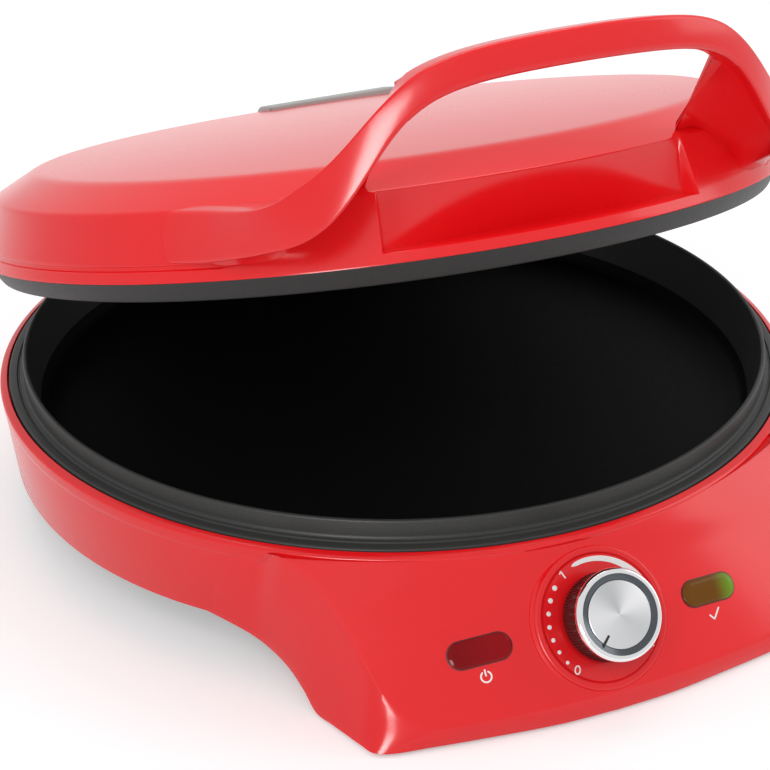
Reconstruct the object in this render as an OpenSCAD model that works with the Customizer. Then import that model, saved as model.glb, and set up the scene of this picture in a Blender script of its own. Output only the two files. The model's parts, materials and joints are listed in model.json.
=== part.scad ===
// Electric pizza maker: a round pan in a red housing with a sloping control console,
// and a hinged red lid with a bow handle and a second heated plate.
// The origin is on the pan's axis, on the table. Front is -Y, up is +Z.
// The lid is drawn part open, as it stands in use.

/* [Lower pan] */
// Outer radius of the pan's flange
pan_r = 165; // [158:1:172]
// Height of the flange's top above the table
rim_z = 60; // [58:0.5:64]
// Thickness of the flange
flange_t = 4; // [3:0.5:5]
// Width of the flange that shows outside the raised lip
flange_w = 6.4; // [5.5:0.2:8]
// Height of the raised lip above the flange
lip_h = 8.5; // [6:0.5:10]
// Width of the raised lip
lip_w = 1.8; // [1.4:0.2:2.6]
// Depth of the pan below the top of its lip
pan_depth = 26; // [20:1:28]
// Thickness of the pan's floor
pan_t = 3; // [2.5:0.5:4]

/* [Housing] */
// Wall thickness of the red mouldings
wall = 2.6; // [2:0.2:3.2]
// Width of the housing's rim round the flange
rim_w = 4; // [3.4:0.2:5]
// Height of the ring wall's lower edge above the table
skirt_z = 22; // [20:1:24]
// Inward lean of the ring wall, as a drop in radius from top to bottom
wall_lean = 3; // [1:0.5:4]
// Height of the mouldings' lower edges above the table
foot_z = 1.4; // [1:0.1:2.4]
// Distance by which the console's front edge stands out from the flange
console_reach = 36.4; // [33:0.2:40]
// Radius of the console's front edge
console_front_r = 284; // [240:2:320]
// Height of the console's upright front band
console_band = 8; // [6:0.5:10]
// Half width of the console at its rear, at the table
console_half_w = 106; // [100:1:110]
// Distance of the console's rear wall inside the flange's edge
console_tuck = 37; // [33:1:43]
// Angle by which each console side turns in towards the front
console_toe = 11.5; // [8:0.5:14]
// Angle by which each console side leans in towards the top
console_lean = 13; // [9:0.5:16]
// Distance inside the flange's edge at which the console's underside starts to rise
sweep_start = 9; // [5:1:15]
// Length over which it rises to the ring's lower edge
sweep_len = 58; // [46:1:66]
// Half width of the hinge block at the rear
block_half_w = 62; // [58:1:70]
// Distance of the hinge block's back behind the hinge axis
block_behind = 14; // [12:1:16]
// Height of the hinge block's top
block_top = 47; // [44:1:48]

/* [Controls] */
// Distance of the dial's centre above the lower end of the sloping panel
dial_up = 28.2; // [26:0.2:30]
// Radius of the raised dial boss
dial_r = 27.3; // [25:0.2:28]
// Height of the dial boss above the panel
dial_t = 1.4; // [1:0.1:2]
// Radius of the knob at its base
knob_r = 16.6; // [15:0.2:18]
// Radius of the knob at its top
knob_top_r = 17.4; // [15.6:0.2:18.6]
// Height of the knob
knob_h = 15.2; // [13:0.2:18]
// Radius of the bright disc in the knob
disc_r = 12.6; // [11:0.2:13.6]
// Radius of the thermostat's shaft
shaft_r = 3; // [2.6:0.1:3.4]
// Turn of the knob between the off mark and the top mark, in degrees
knob_turn = 270; // [240:5:300]
// Distance of each lamp lens from the dial's centre, across the panel
lens_x = 48.5; // [46:0.5:54]
// Distance of the lens centres below the dial's centre
lens_drop = 0.6; // [0:0.2:4]
// Length of a lamp lens
lens_l = 24.5; // [18:0.5:26]
// Width of a lamp lens
lens_w = 10; // [8:0.5:12]

/* [Lid] */
// Angle at which the lid stands open
lid_open = 17; // [15:0.5:20]
// Distance of the hinge axis behind the flange's edge
hinge_behind = 19; // [17:0.5:21]
// Height of the hinge axis above the table
hinge_z = 56.7; // [56:0.1:58]
// Height of the closed lid's dark plate rim above the flange
plate_gap = 1.8; // [1.4:0.2:2.4]
// Distance of the plate rim's lower edge inside the flange's edge
plate_inset = 3.4; // [2.4:0.2:4.4]
// Distance by which the red shell's lower edge stands out from the flange
shell_over = 2.4; // [1.4:0.2:4]
// Height of the dark band between the plate rim's lower edge and the shell
band_h = 7.8; // [7:0.2:9]
// Height of the shell's side wall
shell_side_h = 25; // [24:0.5:27]
// Inward lean of the side wall, as a drop in radius up to the bevel
shell_lean = 7.5; // [6.4:0.1:9]
// Rise of the bevel
bevel_h = 8.8; // [7:0.2:11]
// Width of the bevel, seen from above
bevel_w = 17.6; // [14:0.1:22]
// Rise of the top towards its centre
crown_h = 4; // [2:0.5:6]
// Wall thickness of the lid shell
lid_wall = 2.5; // [2:0.1:3]

/* [Handle] */
// Distance by which the handle's front stands out from the flange
handle_reach = 39; // [35:1:43]
// Half width of the handle where it leaves the shell
handle_half_w = 113; // [111:1:116]
// Thickness of the handle at its centre, front to back
handle_t = 12.5; // [11:0.5:15]
// Height of the handle's lower edge at its centre, lid closed
handle_low = 132.4; // [129:0.2:136]
// Height of the handle's upper edge at its centre, lid closed
handle_high = 144.6; // [142:0.2:148]
// Thickness of the liner on the handle's back
liner_t = 2.5; // [2:0.1:3]
// Half width of the finger recess at its back
recess_half_w = 64; // [60:1:66]
// Grey cover strip on the lid: offset of its middle from the centre line
strip_x = 35; // [20:1:40]
// Length of the grey cover strip along its front edge
strip_l = 66; // [50:1:72]

/* [Heating] */
// Distance of the heating rings inside the flange's edge
ring_inset = 57; // [51:1:65]
// Diameter of the heating tube
tube_d = 6.6; // [6:0.1:8]
// Angle of each ring left open for its terminals
ring_gap = 30; // [24:2:40]
// Thickness of the reflector sheet
sheet_t = 0.8; // [0.6:0.1:1.2]

/* [Fasteners and fits] */
// Radius of the screws' shanks
screw_r = 1.9; // [1.5:0.1:2.1]
// Radius of the screws' heads
head_r = 3.6; // [3:0.1:4]
// Height of the screws' heads
head_h = 2; // [1.6:0.1:2.4]
// Radius of the hinge pins
pin_r = 3; // [2.6:0.1:3.4]
// Radius of the hinge knuckles
knuckle_r = 9; // [8:0.2:9.6]
// Running clearance of pins and shafts in their bores
run_fit = 0.05; // [0.03:0.01:0.08]
// Gap between parts that fit together loosely
gap = 0.3; // [0.25:0.05:0.5]
// Radius of the cord inlet's bore
cord_r = 3.6; // [3:0.1:4]

/* [Hidden] */
$fn = 96;

// Small overrun that makes cuts pass cleanly through a face
eps = 0.05;
// Reach of the cutting blocks, larger than the whole object
far = 500;

// What follows the flange's edge
console_front = pan_r + console_reach;
console_rear = pan_r - console_tuck;
sweep_front = pan_r - sweep_start;
sweep_rear = sweep_front - sweep_len;
hinge_y = pan_r + hinge_behind;
block_back = hinge_y + block_behind;
plate_low_r = pan_r - plate_inset;
shell_r = pan_r + shell_over;
shell_side_r = shell_r - shell_lean;
bevel_r = shell_side_r - bevel_w;
handle_front = pan_r + handle_reach;
ring_r = pan_r - ring_inset;

// Lower pan
lip_out_r = pan_r - flange_w;
lip_in_r = lip_out_r - lip_w;
lip_z = rim_z + lip_h;
floor_z = lip_z - pan_depth;
under_z = floor_z - pan_t;
pan_wall_lean = 5;
floor_r = lip_in_r - pan_wall_lean - 2;
flange_under = rim_z - flange_t;
groove = 0.7;

// Housing
seat_gap = 0.5;
seat_r = pan_r + seat_gap;
rim_r = seat_r + rim_w;
wall_top_r = rim_r - 2;
wall_low_r = wall_top_r - wall_lean;
rim_drop = 0.3;
rim_side = 5.5;
ledge_t = 3;
ledge_in_r = lip_in_r + 0.7;
ledge_under = flange_under - ledge_t;

// Console: its panel is part of a blunt cone, from under the rim to the front band
band_z = foot_z + console_band;
slope_top_z = rim_z - 4;
slope_top_r = wall_top_r + 1;
slope_run = console_front - slope_top_r;
slope_rise = slope_top_z - band_z;
tilt = atan(slope_run / slope_rise);
slope_len = sqrt(slope_run * slope_run + slope_rise * slope_rise);
curve_top = slope_top_r / cos(tilt);
curve_low = console_front_r / cos(tilt);
cone_angle = atan((curve_low - curve_top) / slope_len);
apex_up = curve_top / tan(cone_angle) + slope_len - dial_up;
dial_curve = curve_low - dial_up * tan(cone_angle);
dial_y = -console_front + dial_up * sin(tilt);
dial_z = band_z + dial_up * cos(tilt);
cover_t = 2.4;
cover_z = foot_z + cover_t;
boss_r = 4.2;
sweep_steps = 10;
rib_t = 2.4;
rib_l = 15;

// Bottom cover
tray_t = 2.4;
tray_z = skirt_z + tray_t;
tray_r = wall_low_r - wall - gap;
cover_boss_r = tray_r - boss_r + 0.6;
cover_boss_h = 8;
cover_boss_turns = [35, 145, 205, 335];
slot_step = 18;
slot_w = 6;
slot_l = 90;
block_front = console_rear + 12;

// Heating in the base
tube_r = tube_d / 2;
lower_ring_z = under_z - tube_r;
collar_r = tube_r + 0.7;
terminal_l = 9;
clip_w = 8;
clip_t = 1;
clip_reach = 13;
clip_turns = [30, 150, 270];
boss_turns = [90, 210, 330];
bite = 5;
sheet_z = under_z - tube_d - clip_t - head_h - 0.6 - sheet_t;
sheet_r = floor_r - 8;
boss_at = 72;
post_r = 5;
pan_screw_turns = [45, 135, 225, 315];
pan_screw_at = (ledge_in_r + seat_r) / 2 - 0.7;
pan_bite = flange_t - 1.4;

// Where and how steeply the handle's top falls away behind the bow
fall_in = 28;
fall_up = 0.6;
fall_turn = 39;

// Feet
pad_r = 9;
front_pad_x = 74;
front_pad_in = 25.4;
front_pad_y = front_pad_in - console_front;
rear_pad_x = 46;
rear_pad_in = 26;
rear_pad_y = block_back - rear_pad_in;
console_screw_x = 50;
console_screw_y = front_pad_y;
low_head_h = foot_z / 2;

// Cord gland in the back of the hinge block
gland_z = 24;
gland_r = 6.5;
gland_flange_r = 9.5;
gland_flange_t = 3;
gland_out = 10.5;
gland_in = 12;
nut_t = 3;

// Controls behind the panel
knob_gap = 0.8;
pad_t = 2;
thermo_w = 30;
thermo_h = 26;
thermo_t = 13;
bracket_t = 1.2;
bush_r = 5;
bush_nut_r = 8;
bush_nut_t = 2;
thermo_z = -wall - pad_t - bracket_t;
lens_proud = 1;
lens_flange = 1.2;
lens_rim = 1.6;
lamp_r = 3;
lamp_l = 14;

// Lid, closed
plate_z = rim_z + plate_gap;
shell_z = plate_z + band_h;
side_z = shell_z + shell_side_h;
bevel_z = side_z + bevel_h;
dish_r = lip_out_r + 1;
dish_z = lip_z + 0.6;
dish_t = 2.4;
plate_top = dish_z + dish_t;
ledge_wall = 2;
upper_ring_z = plate_top + tube_r;
upper_sheet_z = plate_top + tube_d + clip_t + head_h + 0.6;
lid_boss_at = 148;
lid_boss_r = 6.5;
lid_boss_turns = [50, 130, 236, 304];
crown_steps = 6;
recess_y = sqrt(shell_side_r * shell_side_r - recess_half_w * recess_half_w);
ledge_z = plate_top + gap / 2 + ledge_wall;
recess_side = 8;

// Handle
handle_back_y = 124;
handle_steps = 40;
handle_tail = 6;
finger_x = 80;
finger_back = 140;
liner_half_w = 62;
handle_wall = 2.4;
handle_screw_x = 100;
handle_screw_z = side_z - 4.4;
handle_seat_y = 117;

// Hinge
arm_w = 12;
arm_in = 25.5;
post_w = 12;
side_play = 1;
post_in = arm_in + arm_w + side_play;
pin_tail = 1.5;
arm_top = 92;
hinge_screw_z = 84;
hinge_seat_y = 154;
strip_front = 127;
strip_back = 156;
strip_rise = 2.2;

// Height of the console's underside at a distance y in front of the pan's axis
function under_edge(y) = let (u = (sweep_front - y) / (sweep_front - sweep_rear))
    foot_z + (skirt_z - foot_z) * sqrt(max(0, min(1, u)));

// Fall of the bow towards its sides, and where its two edges drop to the roots
bow_fall = 0.0008;
bow_low_at = handle_half_w - 35;
bow_high_at = handle_half_w - 31;

// Share of the handle's rise at a distance x from its middle
function rise(x, middle, spread) = 1 / (1 + exp((abs(x) - middle) / spread));

// Heights of the handle's lower and upper edges at x, lid closed
function handle_bottom(x) = let (root = shell_z + 10.4)
    root + (handle_low - root - bow_fall * x * x) * rise(x, bow_low_at, 9);
function handle_top(x) = let (root = side_z + 0.4)
    root + (handle_high - root - bow_fall * x * x) * rise(x, bow_high_at, 11);

// Distance of the handle's outline from the pan's axis at x, for a given inset
function handle_y(x, inset) = let (a = handle_half_w - inset)
    handle_back_y + (handle_front - handle_back_y - inset) * sqrt(max(0, 1 - x * x / (a * a)));

// Places its children on the sloping panel: x across, y up the slope, z outward
module on_panel(x = 0, up = 0) {
    translate([0, dial_y, dial_z])
        rotate([90 - tilt, 0, 0])
            translate([x, up, sqrt(dial_curve * dial_curve - x * x) - dial_curve])
                rotate([0, asin(x / dial_curve), 0])
                    children();
}

// Turns its children from the closed lid's place to where the lid stands
module lid_pose() {
    translate([0, hinge_y, hinge_z])
        rotate([-lid_open, 0, 0])
            translate([0, -hinge_y, -hinge_z])
                children();
}

// Repeats its children at the given turns, at a distance r from the pan's axis
module around(turns, r) {
    for (a = turns)
        rotate([0, 0, a])
            translate([r, 0, 0])
                children();
}

// Repeats its children at the left and at the right
module both(x) {
    for (side = [-1, 1])
        translate([side * x, 0, 0])
            children();
}

// Screw with its head below z = 0 and its shank going up
module screw(length) {
    translate([0, 0, -head_h])
        cylinder(r = head_r, h = head_h);
    cylinder(r = screw_r, h = length);
}

// Clearance hole for such a screw's shank
module screw_way(length) {
    translate([0, 0, -1])
        cylinder(r = screw_r + gap / 2, h = length + 1);
}

// Threaded hole for such a screw's shank
module screw_hold(length) {
    translate([0, 0, -1])
        cylinder(r = screw_r, h = length + 1);
}

// Extrudes a side outline, drawn as (y, z), across the object
module across(width) {
    rotate([90, 0, 90])
        translate([0, 0, -width / 2])
            linear_extrude(height = width)
                children();
}

// Extrudes a front outline, drawn as (x, z), from the front to the rear
module front_to_back() {
    rotate([90, 0, 0])
        linear_extrude(height = far)
            children();
}

// ---------------------------------------------------------------- housing

// The ring of the housing as a filled body
module ring_body() {
    rotate_extrude($fn = 180)
        polygon([
            [0, skirt_z],
            [wall_low_r, skirt_z],
            [wall_top_r, rim_z - rim_side - 1.5],
            [rim_r, rim_z - rim_side],
            [rim_r, rim_z - rim_drop - 0.9],
            [rim_r - 0.9, rim_z - rim_drop],
            [0, rim_z - rim_drop]
        ]);
}

// Everything under the console's rising underside, moved in by inset
module under_sweep(inset = 0) {
    translate([0, -inset, inset])
        across(far)
            polygon(concat(
                [[-sweep_front, foot_z - 20], [-sweep_front, foot_z]],
                [for (i = [1:sweep_steps])
                    let (y = sweep_front - (sweep_front - sweep_rear) * pow(i / sweep_steps, 2))
                    [-y, under_edge(y)]],
                [[0, skirt_z], [0, foot_z - 20]]));
}

// Part of the ring wall that reaches down beside the console
module skirt_body() {
    difference() {
        translate([0, 0, foot_z])
            cylinder(r = wall_low_r, h = skirt_z - foot_z + 1, $fn = 180);
        translate([0, 0, foot_z - 1])
            cylinder(r = wall_low_r - wall, h = skirt_z, $fn = 180);
        translate([-far / 2, -sweep_rear, 0])
            cube([far, far, far]);
        under_sweep();
    }
}

// Inside of the sloping panel's surface, moved in by inset
module panel_body(inset = 0) {
    translate([0, dial_y, dial_z])
        rotate([90 - tilt, 0, 0])
            translate([0, apex_up, 0])
                rotate([90 + cone_angle, 0, 0])
                    translate([0, 0, inset / sin(cone_angle)])
                        cylinder(r1 = 0, r2 = far * tan(cone_angle), h = far, $fn = 180);
}

// Console as a filled body, moved in by inset, up to a height top
module console_body(inset = 0, top = 0) {
    difference() {
        intersection() {
            translate([0, console_front_r - console_front, foot_z])
                cylinder(r = console_front_r - inset, h = top - foot_z, $fn = 180);
            panel_body(inset);
            translate([-far / 2, -far - console_rear - inset, foot_z])
                cube([far, far, top - foot_z]);
        }
        under_sweep(inset);
        for (side = [0, 1])
            mirror([side, 0, 0])
                translate([console_half_w, -console_rear, foot_z])
                    rotate([0, 0, -console_toe])
                        rotate([0, -console_lean, 0])
                            translate([-inset, -far, -far / 2])
                                cube([far, 2 * far, far]);
    }
}

// Hinge block as a filled body, moved in by inset, from a height low
module block_body(inset = 0) {
    intersection() {
        translate([0, 0, foot_z + inset])
            cylinder(r = block_back - inset, h = block_top - foot_z - 2 * inset, $fn = 180);
        translate([inset - block_half_w, block_front + inset, foot_z])
            cube([2 * (block_half_w - inset), far, block_top]);
    }
}

// The two posts that hold the hinge pins
module hinge_posts() {
    both(post_in + post_w / 2)
        across(post_w)
            union() {
                translate([hinge_y, hinge_z])
                    circle(r = knuckle_r);
                translate([hinge_y - knuckle_r, block_top - wall])
                    square([2 * knuckle_r, hinge_z - block_top + wall]);
            }
}

// Outline of a lamp lens, grown by room on every side
module lens_shape(room = 0) {
    translate([0, 0, -15])
        linear_extrude(height = 20)
            union() {
                square([lens_l - lens_w, lens_w + 2 * room], center = true);
                both((lens_l - lens_w) / 2)
                    circle(r = lens_w / 2 + room);
            }
}

// Room of the ring, grown by the gap, that the neighbouring mouldings keep free
module ring_room() {
    rotate_extrude($fn = 180)
        polygon([
            [0, skirt_z - gap],
            [wall_low_r + gap, skirt_z - gap],
            [wall_top_r + gap, rim_z - rim_side - 1.5 - gap],
            [rim_r + gap, rim_z - rim_side - gap],
            [rim_r + gap, far],
            [0, far]
        ]);
}

module base_housing() {
    color("crimson")
        difference() {
            union() {
                difference() {
                    ring_body();
                    // hollow of the ring, below the ledge that carries the pan
                    translate([0, 0, skirt_z - eps])
                        cylinder(r1 = wall_low_r - wall, r2 = wall_top_r - wall,
                                 h = ledge_under - skirt_z + eps, $fn = 180);
                    // ways through to the console and to the hinge block
                    console_body(wall, ledge_under);
                    block_body(wall);
                    // seat of the pan's flange and the opening inside the ledge
                    translate([0, 0, flange_under])
                        cylinder(r = seat_r, h = far, $fn = 180);
                    translate([0, 0, skirt_z + 1])
                        cylinder(r = ledge_in_r, h = far, $fn = 180);
                }
                // bosses for the bottom cover's screws
                intersection() {
                    around(cover_boss_turns, cover_boss_r)
                        translate([0, 0, tray_z])
                            cylinder(r = boss_r, h = cover_boss_h);
                    cylinder(r = wall_low_r - 1, h = far);
                }
            }
            around(cover_boss_turns, cover_boss_r)
                translate([0, 0, tray_z])
                    screw_hold(bite);
            around(pan_screw_turns, pan_screw_at)
                translate([0, 0, ledge_under])
                    screw_way(ledge_t + 1);
        }
}

module console_housing() {
    color("crimson")
        difference() {
            union() {
                difference() {
                    union() {
                        skirt_body();
                        console_body(0, slope_top_z);
                    }
                    translate([0, 0, -eps])
                        console_body(wall, ledge_under);
                }
                // raised dial boss on the panel, with a flat pad behind it
                on_panel()
                    translate([0, 0, -wall])
                        cylinder(r = dial_r, h = wall + dial_t);
                on_panel()
                    translate([0, 0, -wall - pad_t])
                        cylinder(r = dial_r - 8, h = wall + pad_t);
                // bosses for the console cover's screws, each with a rib
                both(console_screw_x)
                    translate([0, console_screw_y, cover_z]) {
                        cylinder(r = boss_r, h = cover_boss_h);
                        translate([-rib_t / 2, -rib_l - 2, 0])
                            cube([rib_t, rib_l, cover_boss_h]);
                    }
            }
            ring_room();
            // hole for the thermostat's bush
            on_panel()
                translate([0, 0, -far / 20])
                    cylinder(r = bush_r + gap, h = far / 10);
            // openings for the lamp lenses
            for (side = [-1, 1])
                on_panel(side * lens_x, -lens_drop)
                    lens_shape(gap);
            both(console_screw_x)
                translate([0, console_screw_y, cover_z])
                    screw_hold(bite);
        }
}

module hinge_block() {
    color("crimson")
        difference() {
            union() {
                block_body();
                hinge_posts();
            }
            block_body(wall);
            ring_room();
            // bores for the hinge pins
            translate([-far / 2, hinge_y, hinge_z])
                rotate([0, 90, 0])
                    cylinder(r = pin_r, h = far);
            // hole for the cord gland
            translate([0, block_back - 10, gland_z])
                rotate([-90, 0, 0])
                    cylinder(r = gland_r, h = 20);
        }
}

module bottom_cover() {
    color("dimgray")
        difference() {
            translate([0, 0, skirt_z])
                cylinder(r = tray_r, h = tray_t, $fn = 180);
            // clear of the console and of the hinge block
            translate([-far / 2, gap - far - console_rear, skirt_z - 1])
                cube([far, far, tray_t + 2]);
            translate([-block_half_w - gap, block_front - gap, skirt_z - 1])
                cube([2 * (block_half_w + gap), far, tray_t + 2]);
            around(cover_boss_turns, cover_boss_r)
                translate([0, 0, skirt_z])
                    screw_way(tray_t + 1);
            // row of vent slots
            for (row = [-3:3])
                translate([row * slot_step - slot_w / 2, -slot_l / 2, skirt_z - 1])
                    cube([slot_w, slot_l, tray_t + 2]);
        }
}

module console_cover() {
    color("dimgray")
        difference() {
            intersection() {
                console_body(wall + gap, band_z);
                translate([-far / 2, -far, foot_z])
                    cube([far, far - sweep_front - wall - gap, cover_t]);
            }
            both(console_screw_x)
                translate([0, console_screw_y, foot_z])
                    screw_way(cover_t + 1);
        }
}

// ------------------------------------------------------------- lower pan

module lower_pan() {
    color("darkslategray")
        difference() {
            union() {
                rotate_extrude($fn = 180)
                    polygon([
                        [0, under_z],
                        [floor_r + 2, under_z],
                        [floor_r + 4, under_z + 1.5],
                        [lip_in_r, flange_under],
                        [pan_r, flange_under],
                        [pan_r, rim_z - 0.5],
                        [pan_r - 0.5, rim_z],
                        [lip_out_r + 2.6, rim_z + 0.3],
                        [lip_out_r + 2.3, rim_z + 0.3 - groove],
                        [lip_out_r + 1.7, rim_z + 0.3 - groove],
                        [lip_out_r + 1.4, rim_z + 0.4],
                        [lip_out_r + 0.6, rim_z + 0.5],
                        [lip_out_r, rim_z + 1.1],
                        [lip_out_r, lip_z - 0.5],
                        [lip_out_r - 0.5, lip_z],
                        [lip_in_r + 0.5, lip_z],
                        [lip_in_r, lip_z - 0.5],
                        [lip_in_r - pan_wall_lean, floor_z + 2.5],
                        [floor_r, floor_z],
                        [0, floor_z]
                    ]);
                // cast posts that carry the reflector and the element's clips
                around(boss_turns, boss_at)
                    translate([0, 0, sheet_z + sheet_t])
                        cylinder(r = post_r, h = under_z - sheet_z - sheet_t + 1);
                around(clip_turns, ring_r + clip_reach)
                    translate([0, 0, under_z - tube_d])
                        cylinder(r = clip_w / 2, h = tube_d + 1);
            }
            around(boss_turns, boss_at)
                translate([0, 0, sheet_z + sheet_t])
                    screw_hold(bite);
            around(clip_turns, ring_r + clip_reach)
                translate([0, 0, under_z - tube_d])
                    screw_hold(bite);
            around(pan_screw_turns, pan_screw_at)
                translate([0, 0, flange_under])
                    screw_hold(pan_bite);
        }
}

// Heating ring with its ends turned away from the plate: dir is -1 down, 1 up
module heating_ring(z, dir) {
    color("slategray")
        union() {
            translate([0, 0, z])
                rotate([0, 0, 90 + ring_gap / 2])
                    rotate_extrude(angle = 360 - ring_gap, $fn = 180)
                        translate([ring_r, 0])
                            circle(r = tube_r, $fn = 32);
            around([90 - ring_gap / 2, 90 + ring_gap / 2], ring_r)
                translate([0, 0, dir > 0 ? z - tube_r : z - terminal_l])
                    cylinder(r = collar_r, h = terminal_l + tube_r, $fn = 32);
        }
}

// Flat bars that hold a heating ring, from z to z + clip_t
module clip_bars(z) {
    color("silver")
        difference() {
            around(clip_turns, ring_r - 5)
                translate([0, -clip_w / 2, z])
                    cube([clip_reach + 5 + clip_w / 2, clip_w, clip_t]);
            around(clip_turns, ring_r + clip_reach)
                translate([0, 0, z - 1])
                    cylinder(r = screw_r + gap / 2, h = clip_t + 2);
        }
}

// Reflector dish: a sheet from z to z + sheet_t, open round the ring's ends
module reflector_sheet(z, edge, posts) {
    color("silver")
        difference() {
            translate([0, 0, z])
                cylinder(r = edge, h = sheet_t, $fn = 180);
            around(boss_turns, posts)
                translate([0, 0, z - 1])
                    cylinder(r = screw_r + gap / 2, h = sheet_t + 2);
            around([90 - ring_gap / 2, 90 + ring_gap / 2], ring_r)
                translate([0, 0, z - 1])
                    cylinder(r = collar_r + 1, h = sheet_t + 2);
        }
}

module lower_element() {
    heating_ring(lower_ring_z, -1);
}

module lower_clips() {
    clip_bars(under_z - tube_d - clip_t);
}

module clip_screws() {
    color("gainsboro")
        around(clip_turns, ring_r + clip_reach)
            translate([0, 0, under_z - tube_d - clip_t])
                screw(clip_t + bite);
}

module lower_reflector() {
    reflector_sheet(sheet_z, sheet_r, boss_at);
}

module reflector_screws() {
    color("gainsboro")
        around(boss_turns, boss_at)
            translate([0, 0, sheet_z])
                screw(sheet_t + bite);
}

module pan_screws() {
    color("gainsboro")
        around(pan_screw_turns, pan_screw_at)
            translate([0, 0, ledge_under])
                screw(ledge_t + pan_bite);
}

module cover_screws() {
    color("gainsboro")
        around(cover_boss_turns, cover_boss_r)
            translate([0, 0, skirt_z])
                screw(tray_t + bite);
}

module console_screws() {
    color("gainsboro")
        both(console_screw_x)
            translate([0, console_screw_y, foot_z]) {
                translate([0, 0, -low_head_h])
                    cylinder(r = head_r, h = low_head_h);
                cylinder(r = screw_r, h = cover_t + bite);
            }
}

module front_feet() {
    color("black")
        both(front_pad_x)
            translate([0, front_pad_y, 0])
                cylinder(r = pad_r, h = foot_z);
}

module rear_feet() {
    color("black")
        both(rear_pad_x)
            translate([0, rear_pad_y, 0])
                cylinder(r = pad_r, h = foot_z);
}

// ---------------------------------------------------------------- wiring

module cord_gland() {
    color("black")
        translate([0, block_back, gland_z])
            rotate([-90, 0, 0])
                difference() {
                    union() {
                        translate([0, 0, -gland_in])
                            cylinder(r = gland_r, h = gland_in + gland_out);
                        cylinder(r = gland_flange_r, h = gland_flange_t);
                    }
                    translate([0, 0, -gland_in - 1])
                        cylinder(r = cord_r, h = gland_in + gland_out + 2);
                }
}

module gland_nut() {
    face = sqrt(pow(block_back - wall, 2) - pow(gland_flange_r, 2));
    color("black")
        translate([0, face - nut_t, gland_z])
            rotate([-90, 0, 0])
                difference() {
                    cylinder(r = gland_flange_r, h = nut_t, $fn = 6);
                    translate([0, 0, -1])
                        cylinder(r = gland_r, h = nut_t + 2);
                }
}

// Terminal block on the floor of the hinge block
term_w = 26;
term_d = 14;
term_h = 12;
term_y = 166;

module terminal_block() {
    color("ivory")
        difference() {
            translate([-term_w / 2, term_y - term_d / 2, foot_z + wall])
                cube([term_w, term_d, term_h]);
            for (i = [-1:1])
                translate([i * 8, term_y, foot_z + wall + term_h - 5])
                    cylinder(r = 2, h = 6);
        }
}

// Wire bundle from the terminal block round the ring to the thermostat
wire_r = 1.8;
wire_ring_r = 159.4;
wire_z = 45;

module base_wiring() {
    turn_end = atan(thermo_w / 2 / wire_ring_r);
    color("sienna")
        union() {
            translate([0, 0, wire_z])
                rotate([0, 0, 90])
                    rotate_extrude(angle = 180 - turn_end, $fn = 180)
                        translate([wire_ring_r, 0])
                            circle(r = wire_r, $fn = 32);
            translate([0, wire_ring_r, wire_z])
                sphere(r = wire_r, $fn = 32);
            translate([0, wire_ring_r, foot_z + wall + term_h])
                cylinder(r = wire_r, h = wire_z - foot_z - wall - term_h, $fn = 32);
        }
}

module thermostat() {
    color("lightslategray")
        on_panel()
            difference() {
                union() {
                    translate([-thermo_w / 2, -thermo_h / 2, thermo_z - thermo_t])
                        cube([thermo_w, thermo_h, thermo_t]);
                    translate([0, 0, thermo_z - eps])
                        cylinder(r = bush_r, h = dial_t - thermo_z + bush_nut_t + eps);
                }
                translate([0, 0, thermo_z - thermo_t + 3])
                    cylinder(r = shaft_r + run_fit, h = far / 10);
            }
}

module thermostat_bracket() {
    color("silver")
        on_panel()
            difference() {
                translate([-thermo_w / 2 - 1, -thermo_h / 2, thermo_z])
                    cube([thermo_w + 2, thermo_h, bracket_t]);
                translate([0, 0, thermo_z - 1])
                    cylinder(r = bush_r, h = bracket_t + 2);
            }
}

module thermostat_nut() {
    color("goldenrod")
        on_panel()
            translate([0, 0, dial_t])
                difference() {
                    cylinder(r = bush_nut_r, h = bush_nut_t, $fn = 6);
                    translate([0, 0, -1])
                        cylinder(r = bush_r, h = bush_nut_t + 2);
                }
}

module thermal_fuse() {
    color("white")
        translate([-8, -boss_at / 2 - 4, under_z - 5])
            cube([16, 8, 5]);
}

// Lamp lens: a pill that follows the panel and sits in its opening
module lens(side) {
    difference() {
        intersection() {
            union() {
                on_panel(side * lens_x, -lens_drop)
                    lens_shape();
                // the wider flange lies behind the panel
                intersection() {
                    on_panel(side * lens_x, -lens_drop)
                        lens_shape(lens_rim);
                    panel_body(wall + gap);
                }
            }
            panel_body(-lens_proud);
        }
        panel_body(wall + gap + lens_flange);
    }
}

module power_lens() {
    color("darkred")
        lens(-1);
}

module ready_lens() {
    color("olive")
        lens(1);
}

// Lamp behind a lens
module lamp(side) {
    intersection() {
        on_panel(side * lens_x, -lens_drop)
            translate([0, 0, -wall - lens_flange - lamp_l])
                cylinder(r = lamp_r, h = lamp_l + 4);
        panel_body(wall + gap + lens_flange);
    }
}

module power_lamp() {
    color("orange")
        lamp(-1);
}

module ready_lamp() {
    color("yellow")
        lamp(1);
}

module hinge_pins() {
    color("silver")
        for (side = [0, 1])
            mirror([side, 0, 0])
                translate([arm_in - pin_tail, hinge_y, hinge_z])
                    rotate([0, 90, 0])
                        cylinder(r = pin_r, h = pin_tail + arm_w + side_play + post_w);
}

// ------------------------------------------------------------------ knob

ring_h = 2.6;
disc_t = 1;
knob_base = dial_t + knob_gap;
knob_top = knob_base + knob_h;
disc_seat = knob_top - ring_h;
hub_r = 7;
knob_wall = 2.2;
bell_h = 4;
pointer_w = 1.6;
pointer_t = 0.8;
pointer_turn = 90 + knob_turn / 2;

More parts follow.
